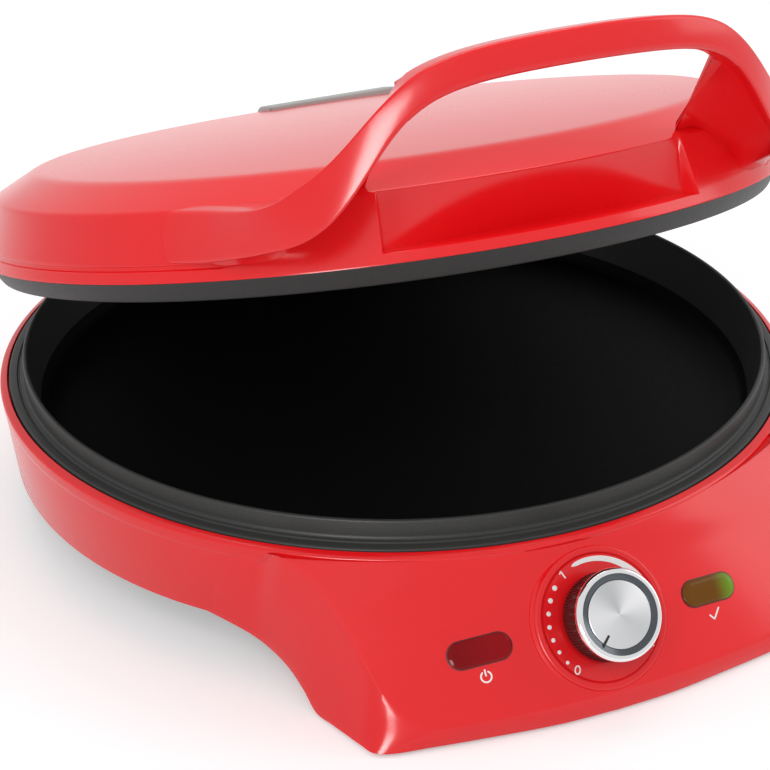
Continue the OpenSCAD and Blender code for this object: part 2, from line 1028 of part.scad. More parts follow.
// Shaft with a flat on one side near its end
module shaft_shape() {
    difference() {
        translate([0, 0, thermo_z - thermo_t + 3 + gap])
            cylinder(r = shaft_r, h = disc_seat - 1.5 - thermo_z + thermo_t - 3 - gap);
        translate([shaft_r * 0.6, -far / 2, knob_base + bell_h])
            cube([far, far, far]);
    }
}

module thermostat_shaft() {
    color("silver")
        on_panel()
            shaft_shape();
}

module knob_barrel() {
    color("dimgray")
        on_panel()
            difference() {
                translate([0, 0, knob_base])
                    cylinder(r1 = knob_r, r2 = knob_top_r - 0.4, h = knob_h - ring_h);
                // bell round the nut, then the hollow round the hub
                translate([0, 0, knob_base - 1])
                    cylinder(r = knob_r - knob_wall, h = bell_h + 1);
                translate([0, 0, knob_base + bell_h - 1])
                    difference() {
                        cylinder(r = knob_r - knob_wall, h = knob_h - ring_h - bell_h - 1);
                        cylinder(r = hub_r, h = far);
                    }
                shaft_shape();
            }
}

module knob_ring() {
    color("silver")
        on_panel()
            difference() {
                translate([0, 0, disc_seat])
                    rotate_extrude()
                        polygon([
                            [disc_r - 1.4, 0],
                            [knob_top_r - 0.2, 0],
                            [knob_top_r, 0.4],
                            [knob_top_r, ring_h - 1.2],
                            [knob_top_r - 0.5, ring_h - 0.5],
                            [disc_r + 0.4, ring_h],
                            [disc_r, ring_h - 0.3],
                            [disc_r, ring_h - 0.6 - disc_t],
                            [disc_r - 1.4, ring_h - 0.6 - disc_t]
                        ]);
                pointer_shape();
            }
}

module knob_disc() {
    color("silver")
        on_panel()
            difference() {
                translate([0, 0, knob_top - 0.6 - disc_t])
                    cylinder(r = disc_r, h = disc_t);
                pointer_shape();
            }
}

// Inlaid pointer bar that runs to the knob's edge
module pointer_shape() {
    rotate([0, 0, pointer_turn - 90])
        translate([-pointer_w / 2, disc_r - 3.6, knob_top - 0.6 - pointer_t])
            cube([pointer_w, knob_top_r - disc_r + 3, pointer_t + 0.5]);
}

module knob_pointer() {
    color("black")
        on_panel()
            pointer_shape();
}

// ------------------------------------------------------------------- lid

bevel_angle = atan(bevel_h / (shell_side_r - bevel_r));

// Lid as a turned body without its recess, moved in by inset
module lid_turned(inset = 0) {
    side_slope = (shell_r - shell_side_r) / shell_side_h;
    top_r = bevel_r - inset * tan(bevel_angle / 2);
    rotate_extrude($fn = 180)
        polygon(concat(
            [[0, shell_z],
             [shell_r - inset, shell_z],
             [shell_side_r - inset * (1 - side_slope), side_z - inset * (1 - cos(bevel_angle) / 2)]],
            [for (i = [crown_steps:-1:0])
                [top_r * i / crown_steps,
                 bevel_z - inset + crown_h * (1 - pow(i / crown_steps, 2))]]));
}

// Room that the recess under the handle takes out of the lid, grown by inset
module recess_cut(inset = 0) {
    foot = ledge_z - inset * ledge_wall / lid_wall;
    difference() {
        translate([0, 0, foot])
            linear_extrude(height = side_z - foot)
                translate([-recess_half_w - inset, -far])
                    square([2 * (recess_half_w + inset), far - recess_y + recess_side + inset]);
        // back wall: straight along its foot, round along the lid's edge
        hull() {
            translate([-recess_half_w - inset - 1, inset - recess_y, foot - 1])
                cube([2 * (recess_half_w + inset + 1), 12, 1]);
            translate([0, 0, side_z])
                linear_extrude(height = 1)
                    intersection() {
                        circle(r = shell_side_r + 0.3 - inset, $fn = 96);
                        translate([-recess_half_w - inset - 1, -far - recess_y + 14])
                            square([2 * (recess_half_w + inset + 1), far]);
                    }
        }
    }
}

// Lid as a filled body with its recess
module lid_body(inset = 0) {
    difference() {
        lid_turned(inset);
        recess_cut(inset);
    }
}

// Seat block inside the lid's wall, from its wall in to a distance seat
module wall_seat(x, z, seat, dir) {
    intersection() {
        translate([x, 0, z])
            rotate([-90 * dir, 0, 0])
                translate([0, 0, seat])
                    cylinder(r = head_r + 1.6, h = far);
        lid_turned(1);
    }
}

// Cross-section of the grey strip, extruded along its length
module strip_shape(room = 0) {
    translate([strip_x, 0, 0])
        across(strip_l + 2 * room)
            polygon([
                [strip_front - room, bevel_z - 8],
                [strip_front - room, bevel_z + strip_rise],
                [bevel_r + 3, bevel_z + strip_rise],
                [strip_back + room, side_z + strip_rise + 2],
                [strip_back + room, side_z - 4]
            ]);
}

module lid_shell() {
    color("crimson")
        lid_pose()
            difference() {
                union() {
                    difference() {
                        lid_body();
                        translate([0, 0, -eps])
                            lid_body(lid_wall);
                    }
                    // posts for the heated plate
                    intersection() {
                        around(lid_boss_turns, lid_boss_at)
                            translate([0, 0, plate_top + 3])
                                cylinder(r = lid_boss_r, h = far);
                        lid_turned(1);
                    }
                    // seats for the handle's and the hinge's screws
                    for (side = [-1, 1]) {
                        wall_seat(side * handle_screw_x, handle_screw_z, handle_seat_y, -1);
                        wall_seat(side * (arm_in + arm_w / 2), hinge_screw_z, hinge_seat_y, 1);
                    }
                }
                // pocket for the grey strip
                difference() {
                    strip_shape(gap / 2);
                    lid_turned(1);
                }
                around(lid_boss_turns, lid_boss_at)
                    translate([0, 0, plate_top + 3])
                        screw_hold(bite);
                for (side = [-1, 1]) {
                    translate([side * handle_screw_x, 0, handle_screw_z])
                        rotate([90, 0, 0])
                            cylinder(r = screw_r + gap / 2, h = far);
                    translate([side * (arm_in + arm_w / 2), 0, hinge_screw_z])
                        rotate([-90, 0, 0])
                            cylinder(r = screw_r + gap / 2, h = far);
                }
            }
}

// ---------------------------------------------------------------- handle

// Plan outline of the handle's front, from its left root to its right root
function handle_plan(inset, half) =
    [for (i = [-handle_steps:handle_steps])
        let (x = half * sin(90 * i / handle_steps))
        [x, -handle_y(x, inset)]];

// Handle as a solid bow joined to the lid, before it is trimmed by the lid
module handle_body() {
    intersection() {
        translate([0, 0, shell_z])
            linear_extrude(height = far)
                difference() {
                    polygon(concat(
                        handle_plan(0, handle_half_w),
                        [[handle_half_w + handle_tail, handle_tail * 2 - handle_back_y],
                         [-handle_half_w - handle_tail, handle_tail * 2 - handle_back_y]]));
                    // room for the fingers
                    polygon(concat(
                        handle_plan(handle_t, finger_x),
                        [[recess_half_w + 2, -finger_back],
                         [-recess_half_w - 2, -finger_back]]));
                }
        front_to_back()
            polygon(concat(
                [for (i = [-handle_steps:handle_steps])
                    let (x = i * (handle_half_w + handle_tail) / handle_steps)
                    [x, handle_top(x)]],
                [for (i = [-handle_steps:handle_steps])
                    let (x = -i * (handle_half_w + handle_tail) / handle_steps)
                    [x, handle_bottom(x)]]));
        // the top falls away behind the bow
        translate([0, fall_in - handle_front, handle_low + fall_up])
            rotate([-fall_turn, 0, 0])
                translate([-far / 2, -far / 2, -far])
                    cube([far, far, far]);
    }
}

// Part of the bow between two insets from its front, with its edges moved in
module bow_slice(from, to, half, edge) {
    intersection() {
        translate([0, 0, shell_z])
            linear_extrude(height = far)
                polygon(concat(
                    handle_plan(from, half),
                    [for (i = [-handle_steps:handle_steps])
                        let (x = -half * sin(90 * i / handle_steps))
                        [x, -handle_y(x, to)]]));
        front_to_back()
            polygon(concat(
                [for (i = [-handle_steps:handle_steps])
                    let (x = i * (half + 4) / handle_steps)
                    [x, handle_top(x) - edge]],
                [for (i = [-handle_steps:handle_steps])
                    let (x = -i * (half + 4) / handle_steps)
                    [x, handle_bottom(x) + edge]]));
    }
}

module lid_handle() {
    color("crimson")
        lid_pose()
            difference() {
                handle_body();
                lid_body();
                bow_slice(handle_wall, handle_t - liner_t + eps, liner_half_w - 3, handle_wall);
                bow_slice(handle_t - liner_t, handle_t + 2, liner_half_w, handle_wall / 2);
                for (side = [-1, 1])
                    translate([side * handle_screw_x, 0, handle_screw_z])
                        rotate([90, 0, 0])
                            cylinder(r = screw_r, h = handle_screw_reach);
            }
}

handle_screw_bite = 24;
handle_screw_reach = handle_seat_y + handle_screw_bite;

module handle_liner() {
    color("firebrick")
        lid_pose()
            bow_slice(handle_t - liner_t, handle_t, liner_half_w, handle_wall / 2);
}

module handle_screws() {
    color("gainsboro")
        lid_pose()
            for (side = [-1, 1])
                translate([side * handle_screw_x, -handle_seat_y, handle_screw_z])
                    rotate([90, 0, 0])
                        screw(handle_screw_reach - handle_seat_y);
}

// ----------------------------------------------------------- upper plate

module upper_plate() {
    color("darkslategray")
        lid_pose()
            difference() {
                union() {
                    rotate_extrude($fn = 180)
                        polygon([
                            [0, dish_z],
                            [dish_r - 1.5, dish_z],
                            [dish_r - 0.4, dish_z - 1.2],
                            [dish_r, plate_z],
                            [plate_low_r, plate_z],
                            [shell_r - 1.4, shell_z - 1],
                            [shell_r - 0.6, shell_z],
                            [shell_r - lid_wall - gap, shell_z],
                            [shell_r - lid_wall - gap - 2, plate_top],
                            [0, plate_top]
                        ]);
                    around(lid_boss_turns, lid_boss_at)
                        translate([0, 0, dish_z + 1])
                            cylinder(r = lid_boss_r, h = plate_top + 3 - dish_z - 1);
                    around(boss_turns, boss_at)
                        translate([0, 0, dish_z + 1])
                            cylinder(r = post_r, h = upper_sheet_z - dish_z - 1);
                    around(clip_turns, ring_r + clip_reach)
                        translate([0, 0, dish_z + 1])
                            cylinder(r = clip_w / 2, h = plate_top + tube_d - dish_z - 1);
                }
                // sunk heads of the screws that hold the plate
                around(lid_boss_turns, lid_boss_at) {
                    translate([0, 0, dish_z - 1])
                        cylinder(r = head_r + gap, h = 1 + head_h + 0.4);
                    translate([0, 0, dish_z])
                        cylinder(r = screw_r + gap / 2, h = far);
                }
                around(boss_turns, boss_at)
                    translate([0, 0, upper_sheet_z - bite])
                        cylinder(r = screw_r, h = far);
                around(clip_turns, ring_r + clip_reach)
                    translate([0, 0, plate_top + tube_d - bite])
                        cylinder(r = screw_r, h = far);
            }
}

module lid_screws() {
    color("gainsboro")
        lid_pose()
            around(lid_boss_turns, lid_boss_at)
                translate([0, 0, dish_z + head_h + 0.4])
                    screw(plate_top + 3 - dish_z - head_h - 0.4 + bite);
}

module upper_element() {
    lid_pose()
        heating_ring(upper_ring_z, 1);
}

module upper_clips() {
    lid_pose()
        clip_bars(plate_top + tube_d);
}

module upper_clip_screws() {
    color("gainsboro")
        lid_pose()
            around(clip_turns, ring_r + clip_reach)
                translate([0, 0, plate_top + tube_d + clip_t])
                    mirror([0, 0, 1])
                        screw(clip_t + bite);
}

module upper_reflector() {
    lid_pose()
        reflector_sheet(upper_sheet_z, sheet_r - 8, boss_at);
}

module upper_screws() {
    color("gainsboro")
        lid_pose()
            around(boss_turns, boss_at)
                translate([0, 0, upper_sheet_z + sheet_t])
                    mirror([0, 0, 1])
                        screw(sheet_t + bite);
}

// ----------------------------------------------------------------- hinge

module lid_hinge() {
    color("crimson")
        lid_pose()
            difference() {
                union() {
                    for (side = [-1, 1])
                        translate([side * (arm_in + arm_w / 2), 0, 0])
                            across(arm_w)
                                union() {
                                    translate([hinge_y, hinge_z])
                                        circle(r = knuckle_r);
                                    polygon([
                                        [hinge_y - knuckle_r, hinge_z],
                                        [hinge_y - knuckle_r, shell_z - 5],
                                        [hinge_y - knuckle_r - 7, shell_z + 1],
                                        [hinge_y - 30, shell_z + 1],
                                        [hinge_y - 30, arm_top],
                                        [hinge_y - 6, arm_top],
                                        [hinge_y + knuckle_r * cos(20), hinge_z + knuckle_r * sin(20)],
                                        [hinge_y + knuckle_r * cos(20), hinge_z]
                                    ]);
                                }
                    // bar that joins the two arms
                    across(2 * arm_in + 2)
                        polygon([
                            [hinge_y - 30, shell_z + 2],
                            [hinge_y - 13, shell_z + 2],
                            [hinge_y - 10, arm_top - 3],
                            [hinge_y - 10, arm_top],
                            [hinge_y - 30, arm_top]
                        ]);
                }
                lid_turned();
                // running bores for the hinge pins
                translate([-far / 2, hinge_y, hinge_z])
                    rotate([0, 90, 0])
                        cylinder(r = pin_r + run_fit, h = far);
                for (side = [-1, 1])
                    translate([side * (arm_in + arm_w / 2), 0, hinge_screw_z])
                        rotate([-90, 0, 0])
                            cylinder(r = screw_r, h = hinge_screw_reach);
            }
}

hinge_screw_bite = 16;
hinge_screw_reach = hinge_seat_y + hinge_screw_bite;

module hinge_screws() {
    color("gainsboro")
        lid_pose()
            for (side = [-1, 1])
                translate([side * (arm_in + arm_w / 2), hinge_seat_y, hinge_screw_z])
                    rotate([-90, 0, 0])
                        screw(hinge_screw_reach - hinge_seat_y);
}

module hinge_cover() {
    color("gray")
        lid_pose()
            difference() {
                strip_shape();
                lid_turned(1);
            }
}

// Cut-out switch that guards the upper plate
module lid_cutout() {
    color("white")
        lid_pose()
            translate([-8, -boss_at / 2 - 4, plate_top])
                cube([16, 8, 5]);
}

// Wire from the cut-out switch to the heating ring's terminals
module lid_wiring() {
    run_z = plate_top + 5 + wire_r;
    run_x = post_r + wire_r + gap;
    end_y = ring_r * cos(ring_gap / 2) - collar_r - wire_r;
    end_x = ring_r * sin(ring_gap / 2);
    color("sienna")
        lid_pose()
            union() {
                translate([run_x, -boss_at / 2, run_z])
                    rotate([-90, 0, 0])
                        cylinder(r = wire_r, h = end_y + boss_at / 2, $fn = 32);
                translate([run_x, end_y, run_z])
                    rotate([0, 90, 0])
                        cylinder(r = wire_r, h = end_x - run_x, $fn = 32);
                translate([run_x, end_y, run_z])
                    sphere(r = wire_r, $fn = 32);
            }
}

base_housing();
console_housing();
hinge_block();
bottom_cover();
console_cover();
lower_pan();
pan_screws();
lower_element();
lower_clips();
clip_screws();
lower_reflector();
reflector_screws();
cover_screws();
console_screws();
front_feet();
rear_feet();
cord_gland();
gland_nut();
terminal_block();
base_wiring();
thermostat();
thermostat_bracket();
thermostat_nut();
thermal_fuse();
power_lens();
ready_lens();
power_lamp();
ready_lamp();
hinge_pins();
knob_barrel();
knob_ring();
knob_disc();
knob_pointer();
thermostat_shaft();
lid_shell();
lid_handle();
handle_liner();
handle_screws();
upper_plate();
lid_screws();
upper_element();
upper_clips();
upper_clip_screws();
upper_reflector();
upper_screws();
lid_hinge();
hinge_screws();
hinge_cover();
lid_cutout();
lid_wiring();
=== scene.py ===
# %% [markdown]
# # An electric pizza maker, one piece at a time
#
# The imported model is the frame: it gives every part's place, size and motion.
# This lesson dresses that frame. The red mouldings, the coated pan and plate,
# the dial, the lamps and the handle are rebuilt as finer meshes with rounded
# edges, and every surface gets a finish made of shader nodes.
#
# All lengths are written in millimetres and turned into metres once, when a
# mesh is made. Front is -Y, up is +Z, and the origin is on the table under the
# middle of the pan.

# %% The frame and the first names
import json
import math

import bmesh
import bpy
from mathutils import Matrix, Vector


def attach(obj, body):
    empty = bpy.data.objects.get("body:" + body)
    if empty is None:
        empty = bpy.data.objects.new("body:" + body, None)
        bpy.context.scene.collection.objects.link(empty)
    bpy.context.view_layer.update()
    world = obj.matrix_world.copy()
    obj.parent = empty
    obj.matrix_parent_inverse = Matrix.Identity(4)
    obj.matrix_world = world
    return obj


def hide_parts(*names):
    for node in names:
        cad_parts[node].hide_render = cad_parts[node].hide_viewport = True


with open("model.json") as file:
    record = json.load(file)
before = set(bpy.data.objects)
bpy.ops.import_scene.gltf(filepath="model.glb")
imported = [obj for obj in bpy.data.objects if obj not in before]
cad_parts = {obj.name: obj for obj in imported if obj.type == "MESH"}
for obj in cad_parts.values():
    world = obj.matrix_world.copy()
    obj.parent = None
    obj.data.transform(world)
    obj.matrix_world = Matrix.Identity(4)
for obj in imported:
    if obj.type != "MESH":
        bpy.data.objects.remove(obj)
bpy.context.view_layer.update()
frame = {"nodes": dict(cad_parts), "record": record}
MM = 0.001


def link(name, data):
    """Puts a new object into the scene."""
    thing = bpy.data.objects.new(name, data)
    bpy.context.scene.collection.objects.link(thing)
    return thing


print("nodes in the frame:", len(frame["nodes"]))

# %% [markdown]
# ## The camera
#
# The photograph looks down at the appliance from the front left through a long
# lens, so its lines hardly converge. The camera is given by the two angles it
# looks along, a slight roll, its distance and its focal length.

# %% The camera
AZIMUTH = math.radians(-24.04)
ELEVATION = math.radians(27.92)
ROLL = math.radians(-0.41)
DISTANCE = 0.951
LOOK_AT = Vector((-0.0042, 0.0, 0.0419))
IMAGE_SIZE = 770
FOCAL_PIXELS = 2177.9
SENSOR = 36.0


def camera_matrix():
    """World matrix of a camera that looks at the object from its two angles."""
    back = Vector((math.sin(AZIMUTH) * math.cos(ELEVATION),
                   -math.cos(AZIMUTH) * math.cos(ELEVATION),
                   math.sin(ELEVATION)))
    right = Vector((0, 0, 1)).cross(back).normalized()
    up = back.cross(right)
    rolled_right = right * math.cos(ROLL) + up * math.sin(ROLL)
    rolled_up = up * math.cos(ROLL) - right * math.sin(ROLL)
    matrix = Matrix((rolled_right, rolled_up, back)).transposed().to_4x4()
    matrix.translation = LOOK_AT + back * DISTANCE
    return matrix


camera = link("camera", bpy.data.cameras.new("camera"))
camera.data.sensor_width = SENSOR
camera.data.lens = SENSOR * FOCAL_PIXELS / IMAGE_SIZE
camera.data.clip_start = 0.01
camera.matrix_world = camera_matrix()
bpy.context.scene.camera = camera
print("camera lens, mm:", round(camera.data.lens, 1))

# %% [markdown]
# ## A small language for node trees
#
# A finish is a node tree. Writing it as arithmetic keeps it readable, so a
# wrapped socket knows three operations, and every other node is added through
# one method that takes its type, its settings and its sockets. The same method
# later builds the world and a Geometry Nodes group.


# %% Node maths
class Wire:
    """One output in a node tree, with ordinary arithmetic."""

    def __init__(self, nodes, socket):
        self.nodes = nodes
        self.socket = socket

    def math(self, operation, *values):
        return self.nodes.add("ShaderNodeMath", {"operation": operation},
                              dict(enumerate(values)))

    def __add__(self, other):
        return self.math("ADD", self, other)

    def __radd__(self, other):
        return self.math("ADD", other, self)

    def __sub__(self, other):
        return self.math("SUBTRACT", self, other)

    def __rsub__(self, other):
        return self.math("SUBTRACT", other, self)

    def __mul__(self, other):
        return self.math("MULTIPLY", self, other)

    def __rmul__(self, other):
        return self.math("MULTIPLY", other, self)

    def between(self, low, high):
        """0 below low, 1 above high and a soft step from one to the other."""
        return self.nodes.add("ShaderNodeMapRange", {"interpolation_type": "SMOOTHSTEP"},
                              {"Value": self, "From Min": low, "From Max": high})


class Nodes:
    """A node tree that is filled one node at a time."""

    def __init__(self, tree):
        self.tree = tree
        tree.nodes.clear()

    def add(self, kind, settings, sockets, output=0):
        """Adds one node and gives one of its outputs as a Wire."""
        node = self.tree.nodes.new(kind)
        for key, value in settings.items():
            setattr(node, key, value)
        for key, value in sockets.items():
            self.plug(node.inputs[key], value)
        return Wire(self, node.outputs[output]) if len(node.outputs) else None

    def plug(self, socket, value):
        if isinstance(value, Wire):
            self.tree.links.new(value.socket, socket)
        elif isinstance(value, tuple) and len(value) == 3 and socket.type == "RGBA":
            socket.default_value = (*value, 1.0)
        else:
            socket.default_value = value

    def blend(self, share, first, second):
        """Colour mix; the sockets of a Mix node are told apart by position."""
        return self.add("ShaderNodeMix", {"data_type": "RGBA"},
                        {0: share, 6: first, 7: second}, 2)

    def rays(self, kind):
        """1 for rays of that kind and 0 for all others."""
        return self.add("ShaderNodeLightPath", {}, {}, kind)


class Finish(Nodes):
    """A material under construction."""

    def __init__(self, name):
        self.material = bpy.data.materials.new(name)
        self.material.use_nodes = True
        super().__init__(self.material.node_tree)
        self.place = self.add("ShaderNodeTexCoord", {}, {}, "Object")

    def noise(self, scale, detail=2.0, place=None):
        return self.add("ShaderNodeTexNoise", {},
                        {"Vector": place or self.place, "Scale": scale, "Detail": detail},
                        "Fac")

    def bump(self, height, distance, strength=1.0, normal=None):
        sockets = {"Height": height, "Distance": distance, "Strength": strength}
        if normal:
            sockets["Normal"] = normal
        return self.add("ShaderNodeBump", {}, sockets)

    def close(self, sockets):
        """Ends the tree with a Principled surface and gives the material."""
        surface = self.add("ShaderNodeBsdfPrincipled", {}, sockets)
        self.add("ShaderNodeOutputMaterial", {}, {"Surface": surface})
        return self.material


def shade(colour, factor):
    """The same colour, lighter or darker."""
    return tuple(min(1.0, c * factor) for c in colour)


def moulded(name, colour, rough, vary=0.05, patch=30.0, grain=1100.0, relief=0.00001,
            metallic=0.0):
    """A plain surface as it really is: uneven in colour, gloss and level."""
    finish = Finish(name)
    cloud = finish.noise(patch)
    fine = finish.noise(grain, 3.0)
    return finish.close({
        "Base Color": finish.blend(cloud, shade(colour, 1 - vary), shade(colour, 1 + vary)),
        "Roughness": rough * (0.8 + 0.4 * fine),
        "Metallic": metallic,
        "Normal": finish.bump(fine, relief)})


print("node helpers are ready")

# %% [markdown]
# ## Red plastic
#
# The mouldings are glossy red plastic straight from a polished tool. Such a
# surface is never quite flat: its reflections waver a little, so a wide shallow
# bump lies under a fine one. The red is saturated, because white light on the
# gloss makes it paler again. The liner on the back of the handle is the same
# plastic from another tool, slightly duller.


# %% The red plastics
def red_plastic(name, colour, rough):
    finish = Finish(name)
    cloud = finish.noise(14.0, 2.0)
    peel = finish.noise(260.0, 1.0)
    dust = finish.noise(2400.0, 2.0)
    wave = finish.bump(peel, 0.00002)
    return finish.close({
        "Base Color": finish.blend(cloud, shade(colour, 0.96), shade(colour, 1.04)),
        "Roughness": rough + 0.05 * dust,
        "Normal": finish.bump(dust, 0.000002, 0.6, wave)})


RED = (0.86, 0.009, 0.013)
gloss_red = red_plastic("red_plastic", RED, 0.17)
liner_red = red_plastic("liner_plastic", (0.70, 0.008, 0.012), 0.26)
print("red plastics:", gloss_red.name, liner_red.name)

# %% [markdown]
# ## Non-stick coating
#
# The pan and the lid's plate are cast aluminium under a sprayed coating. It is
# charcoal, satin and slightly speckled. Its hills are rounder than those of
# bare casting, so a cell pattern is mixed with a soft noise for the relief.


# %% The coatings
def coating(name, colour, rough, specular):
    finish = Finish(name)
    cells = finish.add("ShaderNodeTexVoronoi", {"feature": "F1"},
                       {"Vector": finish.place, "Scale": 900.0}, "Distance")
    soft = finish.noise(500.0, 3.0)
    speck = cells.between(0.1, 0.32)
    cloud = finish.noise(22.0)
    body = finish.blend(cloud, shade(colour, 0.92), shade(colour, 1.08))
    return finish.close({
        "Base Color": finish.blend(speck, shade(colour, 1.5), body),
        "Roughness": rough * (0.85 + 0.3 * soft),
        "Specular IOR Level": specular,
        "Normal": finish.bump(soft + 0.4 * cells, 0.00002)})


rim_coat = coating("rim_aluminium", (0.029, 0.030, 0.029), 0.46, 0.3)
pan_coat = coating("coated_aluminium", (0.038, 0.039, 0.037), 0.44, 0.32)
# Painted shade: the pan's inside is a darker, less glossy copy of the same coating, for the shade
# under the lid.
shaded_pan_coat = coating("pan_interior_painted_shade", (0.0035, 0.0035, 0.0035), 0.55, 0.1)
print("coatings:", rim_coat.name, pan_coat.name, shaded_pan_coat.name)

# %% [markdown]
# ## The dial's finishes
#
# The knob is a black barrel with a bright ring and an inlaid disc. The disc is
# turned on a lathe, which leaves fine concentric scratches; they spread each
# reflection into a fan of light and dark sectors. Here that fan is a painted
# reflection: light and dark sectors painted into the disc's colour. Both the
# rings and the fan are measured from the knob's own axis, so that axis is
# written down first.

# %% The panel's slope and the dial's axis
CONSOLE_FRONT = 201.4
BAND_Z = 9.4
SLOPE_TOP_R = 168.5
SLOPE_TOP_Z = 56.0
FRONT_CURVE = 284.0
DIAL_UP = 28.2
TILT = math.atan2(CONSOLE_FRONT - SLOPE_TOP_R, SLOPE_TOP_Z - BAND_Z)
DIAL = Vector((0, DIAL_UP * math.sin(TILT) - CONSOLE_FRONT, BAND_Z + DIAL_UP * math.cos(TILT)))
ACROSS = Vector((1, 0, 0))
UPWARD = Vector((0, math.sin(TILT), math.cos(TILT)))
OUTWARD = Vector((0, -math.cos(TILT), math.sin(TILT)))
print("panel tilt, degrees:", round(math.degrees(TILT), 2))


# %% Spun disc, chrome and barrel
def from_dial(finish):
    """Distance across and up from the dial's axis, in metres."""
    centre = tuple(DIAL * MM)
    away = finish.add("ShaderNodeVectorMath", {"operation": "SUBTRACT"},
                      {0: finish.place, 1: centre})
    return [finish.add("ShaderNodeVectorMath", {"operation": "DOT_PRODUCT"},
                       {0: away, 1: tuple(side)}, "Value") for side in (ACROSS, UPWARD)]


def spun_metal():
    finish = Finish("knob_aluminium")
    x, y = from_dial(finish)
    square = x * x + y * y
    radius = square.math("SQRT", square)
    angle = y.math("ARCTAN2", y, x)
    rings = finish.noise(1.0, 4.0, finish.add("ShaderNodeCombineXYZ", {}, {"X": radius * 5200.0}))
    # Painted reflection: the fan of light and dark sectors is mixed into the base colour by the
    # angle round the knob's axis.
    fan = [angle * 2.0 + 0.9, angle * 3.0 - 0.4]
    wide, narrow = [0.5 + 0.5 * turn.math("SINE", turn) for turn in fan]
    light = 0.65 * wide + 0.35 * narrow
    return finish.close({
        "Base Color": finish.blend(light, (0.56, 0.57, 0.58), (0.90, 0.90, 0.91)),
        "Roughness": 0.28 + 0.1 * rings,
        "Metallic": 1.0,
        "Normal": finish.bump(rings, 0.00002)})


spun = spun_metal()
chrome = moulded("knob_chrome", (0.86, 0.86, 0.87), 0.10, 0.03, 60.0, 900.0, 0.000002, 1.0)
dark_chrome = moulded("knob_groove", (0.10, 0.11, 0.12), 0.22, 0.06, 60.0, 900.0, 0.000004, 1.0)
barrel_black = moulded("knob_plastic", (0.035, 0.008, 0.007), 0.24, 0.1, 80.0, 1500.0, 0.000006)
pointer_black = moulded("pointer_black", (0.012, 0.012, 0.012), 0.35)
print("dial finishes are ready")

# %% [markdown]
# ## Lenses, print and small parts
#
# The lamp lenses are deep tinted pills: the left one dark red, the right one
# olive, with a little green light at its right end from the lamp behind it.
# That light is a painted glow: each lens's colour turns lighter towards its
# right end.
# The print is white ink, dull beside the gloss. The rest are the plain
# materials of any small appliance.


# %% Tinted lenses
def tinted(name, deep, edge, glow_from, glow_to):
    """A lens whose colour turns lighter towards one side: a painted glow of light leaking through
    from the lamp behind.
    """
    finish = Finish(name)
    apart = finish.add("ShaderNodeSeparateXYZ", {}, {"Vector": finish.place}, "X")
    streak = finish.noise(160.0, 2.0)
    share = (apart + 0.002 * streak).between(glow_from * MM, glow_to * MM)
    fine = finish.noise(1300.0)
    return finish.close({
        "Base Color": finish.blend(share, deep, edge),
        "Roughness": 0.10 + 0.05 * fine,
        "Specular IOR Level": 0.16,
        "Normal": finish.bump(fine, 0.000004)})


# Both lenses carry a painted glow: the colour turns from the deep tint to the lighter one towards
# the lens's right end.
lens_red = tinted("lens_red", (0.22, 0.0006, 0.003), (0.30, 0.001, 0.005), -60, -36)
lens_green = tinted("lens_green", (0.16, 0.060, 0.003), (0.16, 0.34, 0.02), 51, 62)
lens_seam = moulded("lens_seam", (0.10, 0.003, 0.004), 0.4)
print("lenses:", lens_red.name, lens_green.name)


# %% Everyday materials
def woven():
    """Glass-fibre sleeve: two sets of threads that cross."""
    finish = Finish("wire_sleeve")
    warp = finish.add("ShaderNodeTexWave", {"bands_direction": "DIAGONAL"},
                      {"Vector": finish.place, "Scale": 500.0, "Distortion": 0.4}, "Fac")
    weft = finish.add("ShaderNodeTexWave", {"bands_direction": "X"},
                      {"Vector": finish.place, "Scale": 420.0, "Distortion": 0.4}, "Fac")
    thread = warp * weft
    return finish.close({
        "Base Color": finish.blend(thread, (0.42, 0.39, 0.32), (0.80, 0.77, 0.68)),
        "Roughness": 0.85,
        "Normal": finish.bump(thread, 0.0002)})


def clear_glass():
    finish = Finish("lamp_glass")
    warm = finish.noise(300.0)
    return finish.close({
        "Base Color": finish.blend(warm, (0.95, 0.72, 0.42), (0.98, 0.84, 0.62)),
        "Roughness": 0.05 + 0.03 * warm,
        "Transmission Weight": 0.7})


def zinc():
    """Plated steel: bright, with a faint bluish and yellowish bloom."""
    finish = Finish("screw_steel")
    bloom = finish.noise(260.0, 3.0)
    fine = finish.noise(1800.0)
    return finish.close({
        "Base Color": finish.blend(bloom, (0.58, 0.60, 0.66), (0.72, 0.70, 0.62)),
        "Roughness": 0.26 + 0.12 * fine,
        "Metallic": 1.0,
        "Normal": finish.bump(fine, 0.00001)})


print_white = moulded("print_white", (0.93, 0.90, 0.88), 0.45, 0.03, 200.0, 1500.0, 0.000004)
strip_grey = moulded("grey_plastic", (0.35, 0.37, 0.35), 0.38, 0.06, 40.0, 1500.0, 0.00001)
PLAIN = {
    "dark_plastic": ((0.030, 0.030, 0.033), 0.5, 0.12, 60.0, 1500.0, 0.00003),
    "heater_steel": ((0.27, 0.26, 0.25), 0.4, 0.2, 90.0, 1600.0, 0.00001, 1.0),
    "sheet_steel": ((0.74, 0.74, 0.75), 0.3, 0.06, 30.0, 700.0, 0.00001, 1.0),
    "foot_rubber": ((0.022, 0.022, 0.022), 0.85, 0.2, 90.0, 1800.0, 0.00006),
    "ceramic_white": ((0.80, 0.78, 0.72), 0.4, 0.04, 120.0, 1400.0, 0.00002),
    "switch_plastic": ((0.055, 0.035, 0.022), 0.45, 0.15, 90.0, 1500.0, 0.00002),
    "nut_brass": ((0.70, 0.50, 0.20), 0.25, 0.08, 90.0, 1500.0, 0.00001, 1.0)}
